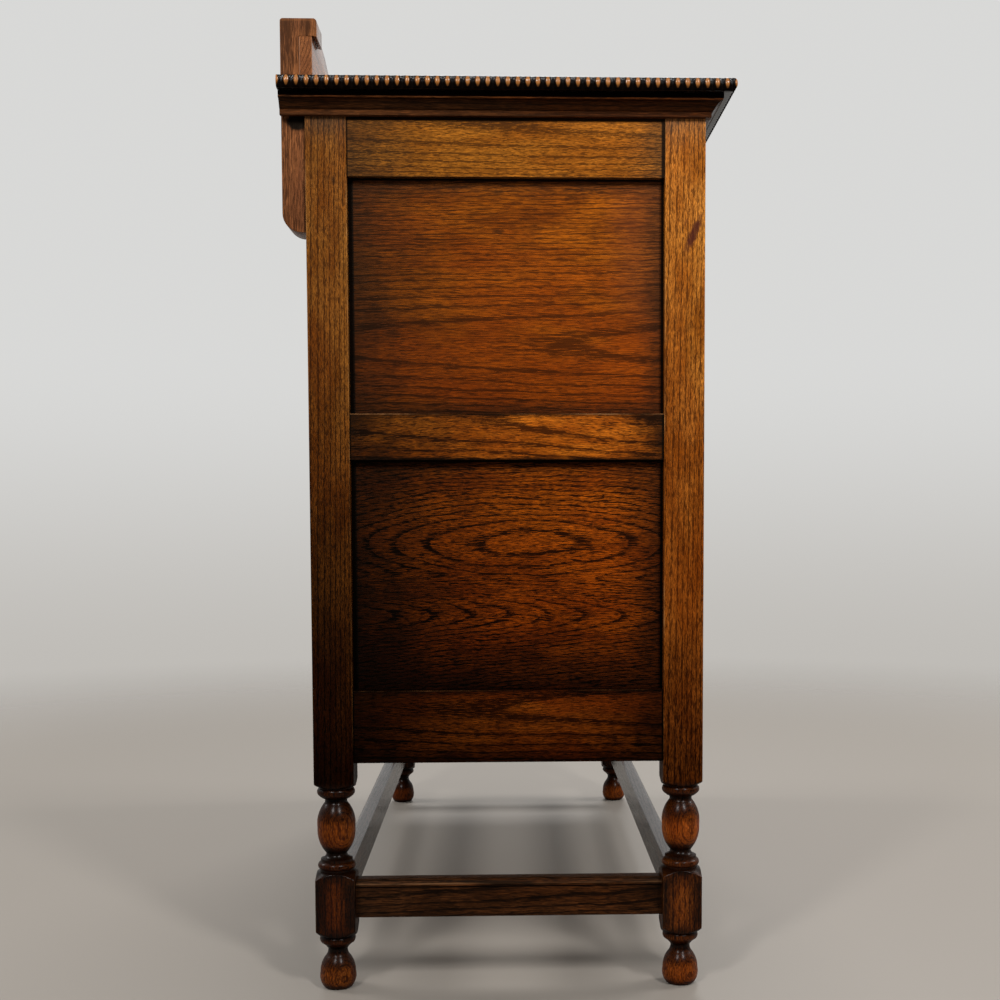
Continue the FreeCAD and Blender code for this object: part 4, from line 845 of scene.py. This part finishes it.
def nulledRun(name, start, end, out, mitres, replaced):
    # one row of nulls from start to end, on the outermost line; out points away from the top
    shape = edgeShape
    along = end - start
    length = along.length
    along.normalize()
    steps = round(length / (shape["pitch"] * mm)) * shape["perBead"]
    outermost = shape["outermost"]
    points, crests = [], []
    for step in range(steps + 1):
        run = length * step / steps
        place = (step / shape["perBead"] + 0.5) % 1.0 - 0.5
        lobe = math.sqrt(max(0.0, 1 - (place / shape["lobeShare"]) ** 2))
        for reach, height, relief, rub in shape["profile"]:
            sunk = reach - shape["hollow"] * (1 - lobe) * relief
            low = (outermost - sunk) * mm if mitres[0] else 0.0
            high = length - (outermost - sunk) * mm if mitres[1] else length
            spot = start + along * min(max(run, low), high) + out * (sunk - outermost) * mm
            points.append((spot.x, spot.y, height * mm))
            crests.append(max(-1.0, 1 - abs(place) / rub) if rub else -1.0)
    thing = meshObject(name, points, tubeFaces(steps + 1, len(shape["profile"])), "carcass",
                       replaced, sharpAngle=70)
    layer = thing.data.attributes.new("crest", "FLOAT", "POINT")
    layer.data.foreach_set("value", crests)
    return thing


nulledLook = {
    # ragged noise is (scale, amount, detail), bump noise (scale, detail)
    "fineRagged": (420, 0.35), "wideRagged": (45, 0.45, 2), "bumpNoise": (500, 3),
    "black": (0.004, 0.0025, 0.002), "brown": (0.17, 0.052, 0.010), "tan": (0.42, 0.170, 0.044),
    "rubbed": (0.02, 0.40), "tanShadedBelow": (0.9790, 0.9845, 0.25, 1.0), "tanScale": 260,
    "roughness": 0.26, "roughened": 0.16, "bumpStrength": 0.2, "bump": 0.0003,
    # cloths polish the middle of the roll; the flat underside keeps its first varnish
    "rollBelow": (0.9815, 0.9860), "rollAbove": (0.9880, 0.9900, 1.0, 0.15),
    "underside": (0.9771, 0.9776, 0.5, 0.0), "coat": 0.45, "specular": 0.15, "coatRoughness": 0.10,
}


def nulledMaterial():
    # black stain between the nulls, rubbed through to tan on their crests
    shape = nulledLook
    material, shader, place = newMaterial("nulled_edge")
    crest = Field(addNode(place.tree, "ShaderNodeAttribute",
                          attribute_name="crest").outputs["Fac"])
    worn = crest + ragged(place, *shape["fineRagged"]) + ragged(place, *shape["wideRagged"])
    rubbed = remap(worn, *shape["rubbed"])
    height = split(place)[2]
    tan = mixColor(noise(place, shape["tanScale"], 3), shape["brown"], shape["tan"])
    # painted shade: the tan darkens down the lower half of the roll, which faces the floor
    tan = scaled(tan, remap(height, *shape["tanShadedBelow"]))
    polish = remap(height, *shape["rollBelow"]) * remap(height, *shape["rollAbove"])
    polish = calc("MAXIMUM", polish, remap(height, *shape["underside"]))
    feed(shader, {
        "Base Color": mixColor(rubbed, shape["black"], tan),
        "Roughness": shape["roughness"] + rubbed * shape["roughened"],
        "Normal": bumped(noise(place, *shape["bumpNoise"]), shape["bumpStrength"],
                         shape["bump"]),
        "Coat Weight": polish * shape["coat"], "Coat Roughness": shape["coatRoughness"],
        "Specular IOR Level": polish * shape["specular"]})
    return material


carcassSide, carcassFront, topRear = 0.541, -0.213, 0.2425
frontLine = carcassFront - edgeShape["outermost"] * mm
sideLine = carcassSide + edgeShape["outermost"] * mm
nulled = nulledMaterial()
edgeRuns = {
    "front_nulled_edge": ((-sideLine, frontLine), (sideLine, frontLine), (0, -1), (True, True),
                          ["front_edge_moulding", "side_edge_mouldings"]),
    "left_nulled_edge": ((-sideLine, topRear), (-sideLine, frontLine), (-1, 0), (False, True),
                         []),
    "right_nulled_edge": ((sideLine, frontLine), (sideLine, topRear), (1, 0), (True, False), []),
}
for name, (start, end, out, mitres, replaced) in edgeRuns.items():
    giveMaterial(nulledRun(name, Vector((*start, 0)), Vector((*end, 0)), Vector((*out, 0)),
                           mitres, replaced), nulled)
print("nulled edge carved")


corniceShape = {
    # (reach past the posts, height) of the cove under the top, in millimetres
    "profile": [(-1.0, 954.5), (4.9, 954.5), (5.4, 955.0), (5.4, 960.1), (5.6, 960.5),
                (6.4, 960.8), (7.3, 961.6), (8.3, 963.2), (9.6, 965.4), (11.2, 967.4),
                (13.2, 969.2), (15.4, 970.3), (16.1, 970.5), (16.3, 970.8), (16.3, 972.0),
                (-1.0, 972.0)],
}


def makeCornice():
    points = []
    for reach, height in corniceShape["profile"]:
        side, front = carcassSide + reach * mm, carcassFront - reach * mm
        points += [(-side, topRear, height * mm), (-side, front, height * mm),
                   (side, front, height * mm), (side, topRear, height * mm)]
    count = len(corniceShape["profile"])
    faces = []
    for row in range(count):
        after = (row + 1) % count
        for column in range(3):
            faces.append((row * 4 + column, row * 4 + column + 1, after * 4 + column + 1,
                          after * 4 + column))
    faces.append(tuple(row * 4 for row in range(count)))
    faces.append(tuple(row * 4 + 3 for row in reversed(range(count))))
    return meshObject("cornice", points, faces, "carcass", ["cornice_mouldings"])


corniceFinish = {
    "tone": "dark", "tint": 1.30, "cove": 0.9605, "aged": 0.0, "ringAmount": 0.15,
    "redAmount": 0.85, "poreAmount": 0.6, "contrast": 0.4, "polished": 0.5350, "coat": 0.25,
    "wearWidth": 0.0010, "wearAmount": 0.5, "dirtAndShadeAmount": 0.0,
}
giveMaterial(makeCornice(),
             oakMaterial("oak_cornice", *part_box("cornice_mouldings"), corniceFinish))
print("cornice made")


galleryShape = {
    # the upstand along the rear of the top and its two brackets, in millimetres
    "bracketInset": 5.0, "bracketWidth": 46.0, "ease": 0.8, "boardRear": 222.5,
    "boardThickness": 14.0, "half": 536.0, "inner": 489.7, "base": 990.0, "underHead": 1039.0,
    "lineSteps": 14,
    # (y, z) round the upright: rounded foot, tongue through the top, head over the board
    "bracket": [(217.0, 833.5), (222.5, 833.5), (236.64, 839.36, 242.5, 853.5, 12),
                (242.5, 1055.0), (241.62, 1057.12, 239.5, 1058.0, 5), (207.0, 1058.0),
                (204.52, 1056.98, 203.5, 1054.5, 5), (203.5, 1038.8), (204.3, 1038.4),
                (208.4, 1039.6), (208.5, 1039.2), (222.5, 1039.2), (222.5, 972.0),
                (217.0, 972.0)],
    # share of the half length, height
    "line": [(1.0, 1055.5), (0.93, 1054.2), (0.86, 1050.2), (0.795, 1042.0), (0.72, 1034.4),
             (0.62, 1031.5), (0.42, 1049.8), (0.22, 1065.8), (0.0, 1070.0)],
}


def smoothLine(places, count):
    # Catmull-Rom through the places, mirrored about the middle
    ends = [places[0]] + places + [(-places[-2][0], places[-2][1])]
    line = []
    for index in range(1, len(ends) - 2):
        a, b, c, d = (Vector(ends[index + shift]) for shift in (-1, 0, 1, 2))
        for step in range(count):
            t = step / count
            line.append(0.5 * (2 * b + (c - a) * t + (2 * a - 5 * b + 4 * c - d) * t**2
                               + (3 * b - a - 3 * c + d) * t**3))
    line.append(Vector(places[-1]))
    return line + [Vector((-point.x, point.y)) for point in reversed(line[:-1])]


def boardOutline():
    # (x, z) of the upstand, whose ends run on inside the brackets
    shape = galleryShape
    line = smoothLine([(share * shape["inner"], height) for share, height in shape["line"]],
                      shape["lineSteps"])
    low = [(shape["half"], shape["base"]), (shape["half"], shape["underHead"]),
           (shape["inner"], shape["underHead"])]
    return [(point.x, point.y) for point in line] + [(-x, z) for x, z in reversed(low)] + low


bracketFinish = {
    "tone": "upstand", "tint": 0.80, "along": "z", "across": "y", "aged": 0.0,
    "ringAmount": 0.18, "redAmount": 0.2, "contrast": 0.3, "wearWidth": 0.0018,
    "wearAmount": 0.5, "skip": (1.0, 1.0, 1.0), "lowSpread": (0.008, 0.004, 0.004),
    "highSpread": (0.008, 0.004, 0.004), "dirtAndShadeAmount": 0.5, "polished": 0.5350, "coat": 0.9,
    "dullBelow": 0.875,
}
# the dark spot on the left bracket is a painted shadow of the cornice's overhang
bracketShadowMarks = {
    "left": [{"at": (-0.536, 0.2250, 0.9505), "stretch": (10, 78, 86), "amount": 1.0, "loose": 0.4,
              "core": 0.70, "color": (0.004, 0.002, 0.001)}],
}
upstandFinish = {
    "tone": "upstand", "tint": 1.08, "along": "x", "aged": 0.0, "taper": 0.02, "redAmount": 0.15,
    "wearAmount": 0.7, "wearWidth": 0.0016, "rubAndHighlightTone": (0.36, 0.19, 0.11),
    "skip": (1.0, 1.0, 1.0), "polished": 0.535, "coat": 0.9, "dirtAndShadeAmount": 0.2,
}
for end, sign in (("left", -1), ("right", 1)):
    node = f"{end}_gallery_bracket"
    outer = sign * (carcassSide / mm - galleryShape["bracketInset"])
    inner = outer - sign * galleryShape["bracketWidth"]
    start = min(outer, inner)
    bracket = easedPlate(f"{end}_bracket", follow(galleryShape["bracket"]),
                         galleryShape["bracketWidth"], galleryShape["ease"],
                         lambda y, z, depth, start=start: ((start + depth) * mm, y * mm, z * mm),
                         "carcass", [node])
    finish = {**bracketFinish, "marks": bracketShadowMarks.get(end, [])}
    giveMaterial(bracket, oakMaterial(f"oak_{end}_bracket", *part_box(node), finish))
gallery = easedPlate("gallery_back", boardOutline(), galleryShape["boardThickness"],
                     galleryShape["ease"],
                     lambda x, z, depth: (x * mm, (galleryShape["boardRear"] - depth) * mm, z * mm),
                     "carcass", ["gallery_board"])
giveMaterial(gallery, oakMaterial("oak_gallery", *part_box("gallery_board"), upstandFinish))
print("gallery made")


# the boards that keep their carried shape

endBoard = {"along": "-y", "aged": 1.0, "floorShine": 0.3, "highSeam": (0, 0.0022, 0),
            "wearAmount": 0.0}
# a panel's seams: painted shadow under the rails, dark joints at its sides
endPanel = {"tone": "panel", "hide": (0, 0.006, 0.006), "lowSeam": (0, 0.0040, 0.0010),
            "highSeam": (0, 0.0065, 0.0032)}
endRail = {"hide": (0, 0.022, 0)}
boardFinishes = {
    # low spreads are (thickness, from the front post, up), high ones (.., from the rear, down)
    # the top rail's high seam and spread paint the cornice's shadow on it, with dirt
    "top_rail": {**endRail, "tint": 0.99, "seed": 3.1, "ringAmount": 0.07, "ringWidth": 0.0018,
                 "wave": 0.007, "pithDepth": 0.16, "poreLength": 0.6, "poreAmount": 0.82,
                 "redAmount": 0.20, "patchAmount": 0.7, "lowSpread": (0.01, 0.055, 0.001),
                 "highSpread": (0.01, 0.105, 0.036), "lowSeam": (0, 0.0046, 0),
                 "highSeam": (0, 0.0022, 0.0220), "dirtAndShadeAmount": 0.74,
                 "dirtAndShade": (0.060, 0.030, 0.012)},
    "mid_rail": {**endRail, "tint": 2.14, "seed": 5.2, "ringAmount": 0.30, "wave": 0.012,
                 "taper": 0.02, "poreLength": 0.8, "poreAmount": 0.97,
                 "lowSpread": (0.01, 0.080, 0.006), "highSpread": (0.01, 0.195, 0.006),
                 "lowSeam": (0, 0.0034, 0.0014), "wearAmount": 1.1, "rubAndHighlightAbove": True,
                 "dirtAndShadeAmount": 0.96},
    "bottom_rail": {**endRail, "tint": 2.0, "seed": 8.7, "wave": 0.012,
                    "taper": 0.01, "poreLength": 0.9, "redAmount": 0.8, "redden": 0.92,
                    "contrast": 0.2, "lowSpread": (0.01, 0.118, 0.024),
                    "highSpread": (0.01, 0.165, 0.012), "lowSeam": (0, 0.0026, 0),
                    "wearAmount": 0.7, "rubAndHighlightAbove": True, "dirtAndShadeAmount": 0.92},
    "upper_panel": {**endPanel, "tint": 0.98, "seed": 12.4, "ringAmount": 0.15,
                    "ringWidth": 0.0039, "wave": 0.009, "pithAcross": -0.05, "pithDepth": 0.11,
                    "taper": 0.012, "poreLength": 1.1, "poreAmount": 0.78, "redAmount": 0.65,
                    "contrast": 0.1, "lowSpread": (0.01, 0.036, 0.022),
                    "highSpread": (0.01, 0.125, 0.026), "dirtAndShadeAmount": 0.84,
                    "dirtAndShade": (0.034, 0.014, 0.006)},
    "lower_panel": {**endPanel, "tint": 1.32, "seed": 21.9, "ringAmount": 0.30,
                    "ringWidth": 0.0040, "wave": 0.016, "pithAcross": 0.034, "pithDepth": 0.046,
                    "bow": 0.42, "bowCentre": 0.05, "taper": -0.022, "split": -0.012,
                    "heartTwo": -0.043, "depthTwo": 0.020, "taperTwo": -0.095,
                    "poreLength": 0.9, "poreAmount": 1.0, "redden": 0.82, "contrast": 0.65,
                    "lowSpread": (0.01, 0.072, 0.096), "highSpread": (0.01, 0.200, 0.022),
                    "dirtAndShadeAmount": 0.90},
}
farSeed = 40.3  # gives the far end other boards
panelMarks = [
    {"at": (-0.530, 0.0105, 0.878), "stretch": (20, 130, 210), "amount": 0.55, "ragged": 260,
     "color": (0.05, 0.018, 0.004)},
    {"at": (-0.530, 0.0110, 0.836), "stretch": (20, 140, 230), "amount": 0.65, "ragged": 260,
     "color": (0.04, 0.014, 0.004)},
    {"at": (-0.530, 0.126, 0.726), "stretch": (20, 75, 120), "amount": 0.55, "ragged": 160,
     "color": (0.025, 0.009, 0.003)},
    # a reddish patch towards the front post: painted sheen
    {"at": (-0.530, -0.175, 0.830), "stretch": (4, 12.0, 6.5), "amount": 0.4, "ragged": 14,
     "loose": 0.6, "color": (0.14, 0.036, 0.016)},
]
for end in ("left", "right"):
    for part, finish in boardFinishes.items():
        name = f"{end}_{part}"
        finish = {**endBoard, **finish}
        if end == "right":
            finish["seed"] += farSeed
        elif part == "upper_panel":
            finish["marks"] = panelMarks
        giveMaterial(nodes[name], oakMaterial(f"oak_{name}", *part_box(name), finish))
        easeEdges(nodes[name], easing["board"])

stretcherShape = {
    "thickness": 20.0, "quirk": 114.9, "ridge": 118.4,
    # (out from the inner face, height) with a bead scratched along the outer top arris
    "profile": [(0.0, 81.6), (0.6, 81.0), (19.4, 81.0), (20.0, 81.6), (20.0, 114.3), (18.9, 114.5),
                (18.9, 115.2), (19.9, 115.5), (20.0, 117.2), (19.7, 119.0), (18.8, 120.8),
                (17.4, 122.2), (15.6, 123.1), (13.8, 123.5), (0.6, 123.5), (0.0, 122.9)],
}


def makeStretcher(name, out):
    shape = stretcherShape
    low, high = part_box(name)
    out = Vector(out)
    run = out.cross(Vector((0, 0, 1)))
    centre = (low + high) / 2
    half = abs((high - low).dot(run)) / 2
    points = []
    for way in (-1, 1):
        for reach, height in shape["profile"]:
            spot = centre + run * way * half + out * (reach - shape["thickness"] / 2) * mm
            points.append((spot.x, spot.y, height * mm))
    return meshObject(f"{name}_rail", points, tubeFaces(2, len(shape["profile"])), "carcass",
                      [name])


stretcherFinish = {
    "tone": "dark", "tint": 0.74, "aged": 0.0, "ringAmount": 0.5, "ringWidth": 0.005,
    "wave": 0.016, "pithDepth": 0.05, "taper": 0.02, "contrast": 0.9, "wearAmount": 0.0,
    "lowSpread": (0.006, 0.03, 0.004), "highSpread": (0.006, 0.11, 0.003), "dirtAndShadeAmount": 0.7,
}
longStretcher = {"along": "x", "polished": 0.50, "coat": 0.5}
for name, out in {"left_stretcher": (-1, 0, 0), "right_stretcher": (1, 0, 0),
                  "front_stretcher": (0, -1, 0), "rear_stretcher": (0, 1, 0)}.items():
    bead = {"Outward": out, "Quirk": stretcherShape["quirk"] * mm,
            "Ridge": stretcherShape["ridge"] * mm}
    finish = {**stretcherFinish, **(longStretcher if out[1] else {}), "bead": bead}
    giveMaterial(makeStretcher(name, out), oakMaterial(f"oak_{name}", *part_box(name), finish))
print("stretchers made")

frontBoard = {"along": "x", "specular": 0.20, "roughness": 0.38}
frontFinishes = {
    "front_top_rail": {"hide": (0.022, 0, 0)},
    "drawer_rail": {"hide": (0.022, 0, 0)},
    "front_bottom_rail": {"hide": (0.022, 0, 0), "taper": 0.01},
    "drawer_divider": {"along": "z", "across": "x", "hide": (0, 0, 0.007)},
    "door_muntin": {"along": "z", "across": "x", "hide": (0, 0, 0.007)},
    "top_board": {"tone": "top", "across": "y", "aged": 0.0, "pithDepth": 0.05, "taper": 0.012,
                  "ringWidth": 0.006, "wave": 0.02, "wearAmount": 0.2, "dirtAndShadeAmount": 0.25,
                  "specular": 0.4, "roughness": 0.34, "black": 0.9885},
}
pairedFinishes = {
    "drawer_front": {"taper": 0.02, "pithDepth": 0.05, "wearAmount": 0.5},
    "door_rails": {"hide": (0.034, 0, 0)},
    "door_stiles": {"along": "z", "across": "x"},
    "door_panel": {"tone": "panel", "along": "z", "across": "x", "redden": 0.25, "taper": 0.05,
                   "pithDepth": 0.05, "ringWidth": 0.005, "hide": (0.006, 0, 0.006),
                   "wearAmount": 0.3},
}
for end in ("left", "right"):
    frontFinishes.update({f"{end}_{part}": finish for part, finish in pairedFinishes.items()})
for name, finish in frontFinishes.items():
    finish = {**frontBoard, **finish}
    giveMaterial(nodes[name], oakMaterial(f"oak_{name}", *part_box(name), finish))
    easeEdges(nodes[name], easing["board"])

innerFinish = {
    "tone": "inner", "aged": 0.0, "roughness": 0.6, "poreAmount": 0.35, "ringAmount": 0.2,
    "redAmount": 0.3, "wearAmount": 0.0, "dirtAndShadeAmount": 0.5, "dirtAndShade": (0.08, 0.05, 0.03),
    "lowSpread": (0.02, 0.02, 0.02), "highSpread": (0.02, 0.02, 0.02),
}
innerPieces = {"rear_rails": "x", "back_panel": "x", "bottom_board": "x", "shelf": "x",
               "drawer_runners": "y"}
for end in ("left", "right"):
    innerPieces.update({f"{end}_drawer_sides": "y", f"{end}_drawer_back": "x",
                        f"{end}_drawer_bottom": "y"})
for name, along in innerPieces.items():
    low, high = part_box(name)
    thin = min(range(3), key=lambda axis: high[axis] - low[axis])
    across = next(letter for letter in "xyz" if letter not in (along, "xyz"[thin]))
    finish = {**innerFinish, "along": along, "across": across}
    giveMaterial(nodes[name], oakMaterial(f"wood_{name}", low, high, finish))
    easeEdges(nodes[name], easing["inner"])

brass = brassMaterial("aged_brass")
for name, thing in nodes.items():
    if name.endswith(("_hinge_leaves", "_back_plate", "_drop")):
        giveMaterial(thing, brass)
        easeEdges(thing, easing["brass"], angle=50)
print("boards and brass finished")


cameraView = {"place": (-2.1536, 0.0036, 0.5423), "yaw": -0.0345, "pitch": -0.0711,
              "roll": -0.0020, "lens": 53.063, "sensor": 36.0, "shiftX": -0.05753,
              "shiftY": 0.10823}


def makeCamera():
    data = bpy.data.cameras.new("camera")
    data.lens = cameraView["lens"]
    data.sensor_width = cameraView["sensor"]
    data.shift_x = cameraView["shiftX"]
    data.shift_y = cameraView["shiftY"]
    camera = bpy.data.objects.new("camera", data)
    scene.collection.objects.link(camera)
    yaw, pitch, roll = cameraView["yaw"], cameraView["pitch"], cameraView["roll"]
    # unit vectors with x towards the far end, y to the back and z up
    right = Vector((math.sin(yaw), -math.cos(yaw), 0))
    level = Vector((math.cos(yaw), math.sin(yaw), 0))
    ahead = level * math.cos(pitch) + Vector((0, 0, math.sin(pitch)))
    up = right.cross(ahead)
    turnedRight = right * math.cos(roll) + up * math.sin(roll)
    turnedUp = up * math.cos(roll) - right * math.sin(roll)
    turn = Matrix((turnedRight, turnedUp, -ahead)).transposed()
    camera.matrix_world = Matrix.Translation(cameraView["place"]) @ turn.to_4x4()
    scene.camera = camera


makeCamera()

lampTarget = (0, 0, 0.5)
lampValues = {
    # place, width, height, watts
    "key_lamp": ((-2.5, -1.15, 2.35), 0.30, 0.80, 50.0),
    "second_lamp": ((-2.6, 1.05, 2.30), 0.30, 0.80, 42.0),
    "front_lamp": ((0.5, -3.0, 2.5), 1.2, 1.2, 75.0),
    "rear_lamp": ((0.6, 3.0, 2.5), 1.2, 1.2, 60.0),
    "far_lamp": ((2.8, -0.3, 3.5), 1.2, 1.2, 75.0),
}
for name, (place, width, height, watts) in lampValues.items():
    light = bpy.data.lights.new(name, "AREA")
    light.shape = "RECTANGLE"
    light.size = width
    light.size_y = height
    light.energy = watts
    lamp = bpy.data.objects.new(name, light)
    scene.collection.objects.link(lamp)
    lamp.location = place
    lamp.rotation_mode = "QUATERNION"
    lamp.rotation_quaternion = (Vector(lampTarget) - Vector(place)).to_track_quat("-Z", "Y")

floorValues = {"radius": 6.0, "sides": 96, "fadeFrom": 1.3, "fadeTo": 3.2,
               "color": (0.254, 0.226, 0.195, 1), "roughness": 0.55}


def makeFloor():
    # a pale disc that fades into the backdrop
    values = floorValues
    turns = [math.tau * step / values["sides"] for step in range(values["sides"])]
    points = [(values["radius"] * math.cos(turn), values["radius"] * math.sin(turn), 0.0)
              for turn in turns]
    mesh = bpy.data.meshes.new("floor")
    mesh.from_pydata(points, [], [tuple(range(len(points)))])
    floor = bpy.data.objects.new("floor", mesh)
    scene.collection.objects.link(floor)
    material, shader, place = newMaterial("pale_floor")
    tree = place.tree
    feed(shader, {"Base Color": values["color"], "Roughness": values["roughness"]})
    clear = Field(tree.nodes.new("ShaderNodeBsdfTransparent").outputs[0])
    fade = remap(calc("LENGTH", place), values["fadeFrom"], values["fadeTo"])
    blend = nodeField("ShaderNodeMixShader", {0: fade, 1: Field(shader.outputs[0]), 2: clear})
    feed(tree.nodes["Material Output"], {"Surface": blend})
    giveMaterial(floor, material)


makeFloor()

backdropValues = {
    "upper": (0.69, 0.69, 0.68), "lower": (0.52, 0.50, 0.47), "behind": (0.07, 0.068, 0.065),
    "horizon": (-0.12, 0.10), "sides": (-0.75, 0.75), "shown": 1.0, "lighting": 0.32,
}


def makeWorld():
    # a pale backdrop, dim behind the camera; a plain even fill lights the wood
    values = backdropValues
    world = bpy.data.worlds.new("studio")
    scene.world = world
    world.use_nodes = True
    tree = world.node_tree
    tree.nodes.clear()
    path = {socket.name: Field(socket) for socket in
            addNode(tree, "ShaderNodeLightPath").outputs}
    direction = addNode(tree, "ShaderNodeTexCoord").outputs["Generated"]
    along, _, upwards = split(Field(direction))
    backdrop = mixColor(remap(upwards, *values["horizon"]), values["lower"], values["upper"])
    around = mixColor(remap(along, *values["sides"]), values["behind"], backdrop)
    shown = mixColor(path["Is Glossy Ray"], backdrop, around)
    seen = calc("MAXIMUM", path["Is Camera Ray"],
                calc("MAXIMUM", path["Is Glossy Ray"], path["Is Transmission Ray"]))
    background = nodeField("ShaderNodeBackground", {"Color": shown, "Strength": values["shown"]})
    lighting = addNode(tree, "ShaderNodeBackground", {"Color": (1, 1, 1, 1),
                                                      "Strength": values["lighting"]})
    blend = nodeField("ShaderNodeMixShader",
                      {0: seen, 1: Field(lighting.outputs[0]), 2: background})
    addNode(tree, "ShaderNodeOutputWorld", {"Surface": blend})


makeWorld()
scene.view_settings.view_transform = "Standard"
print("studio ready")
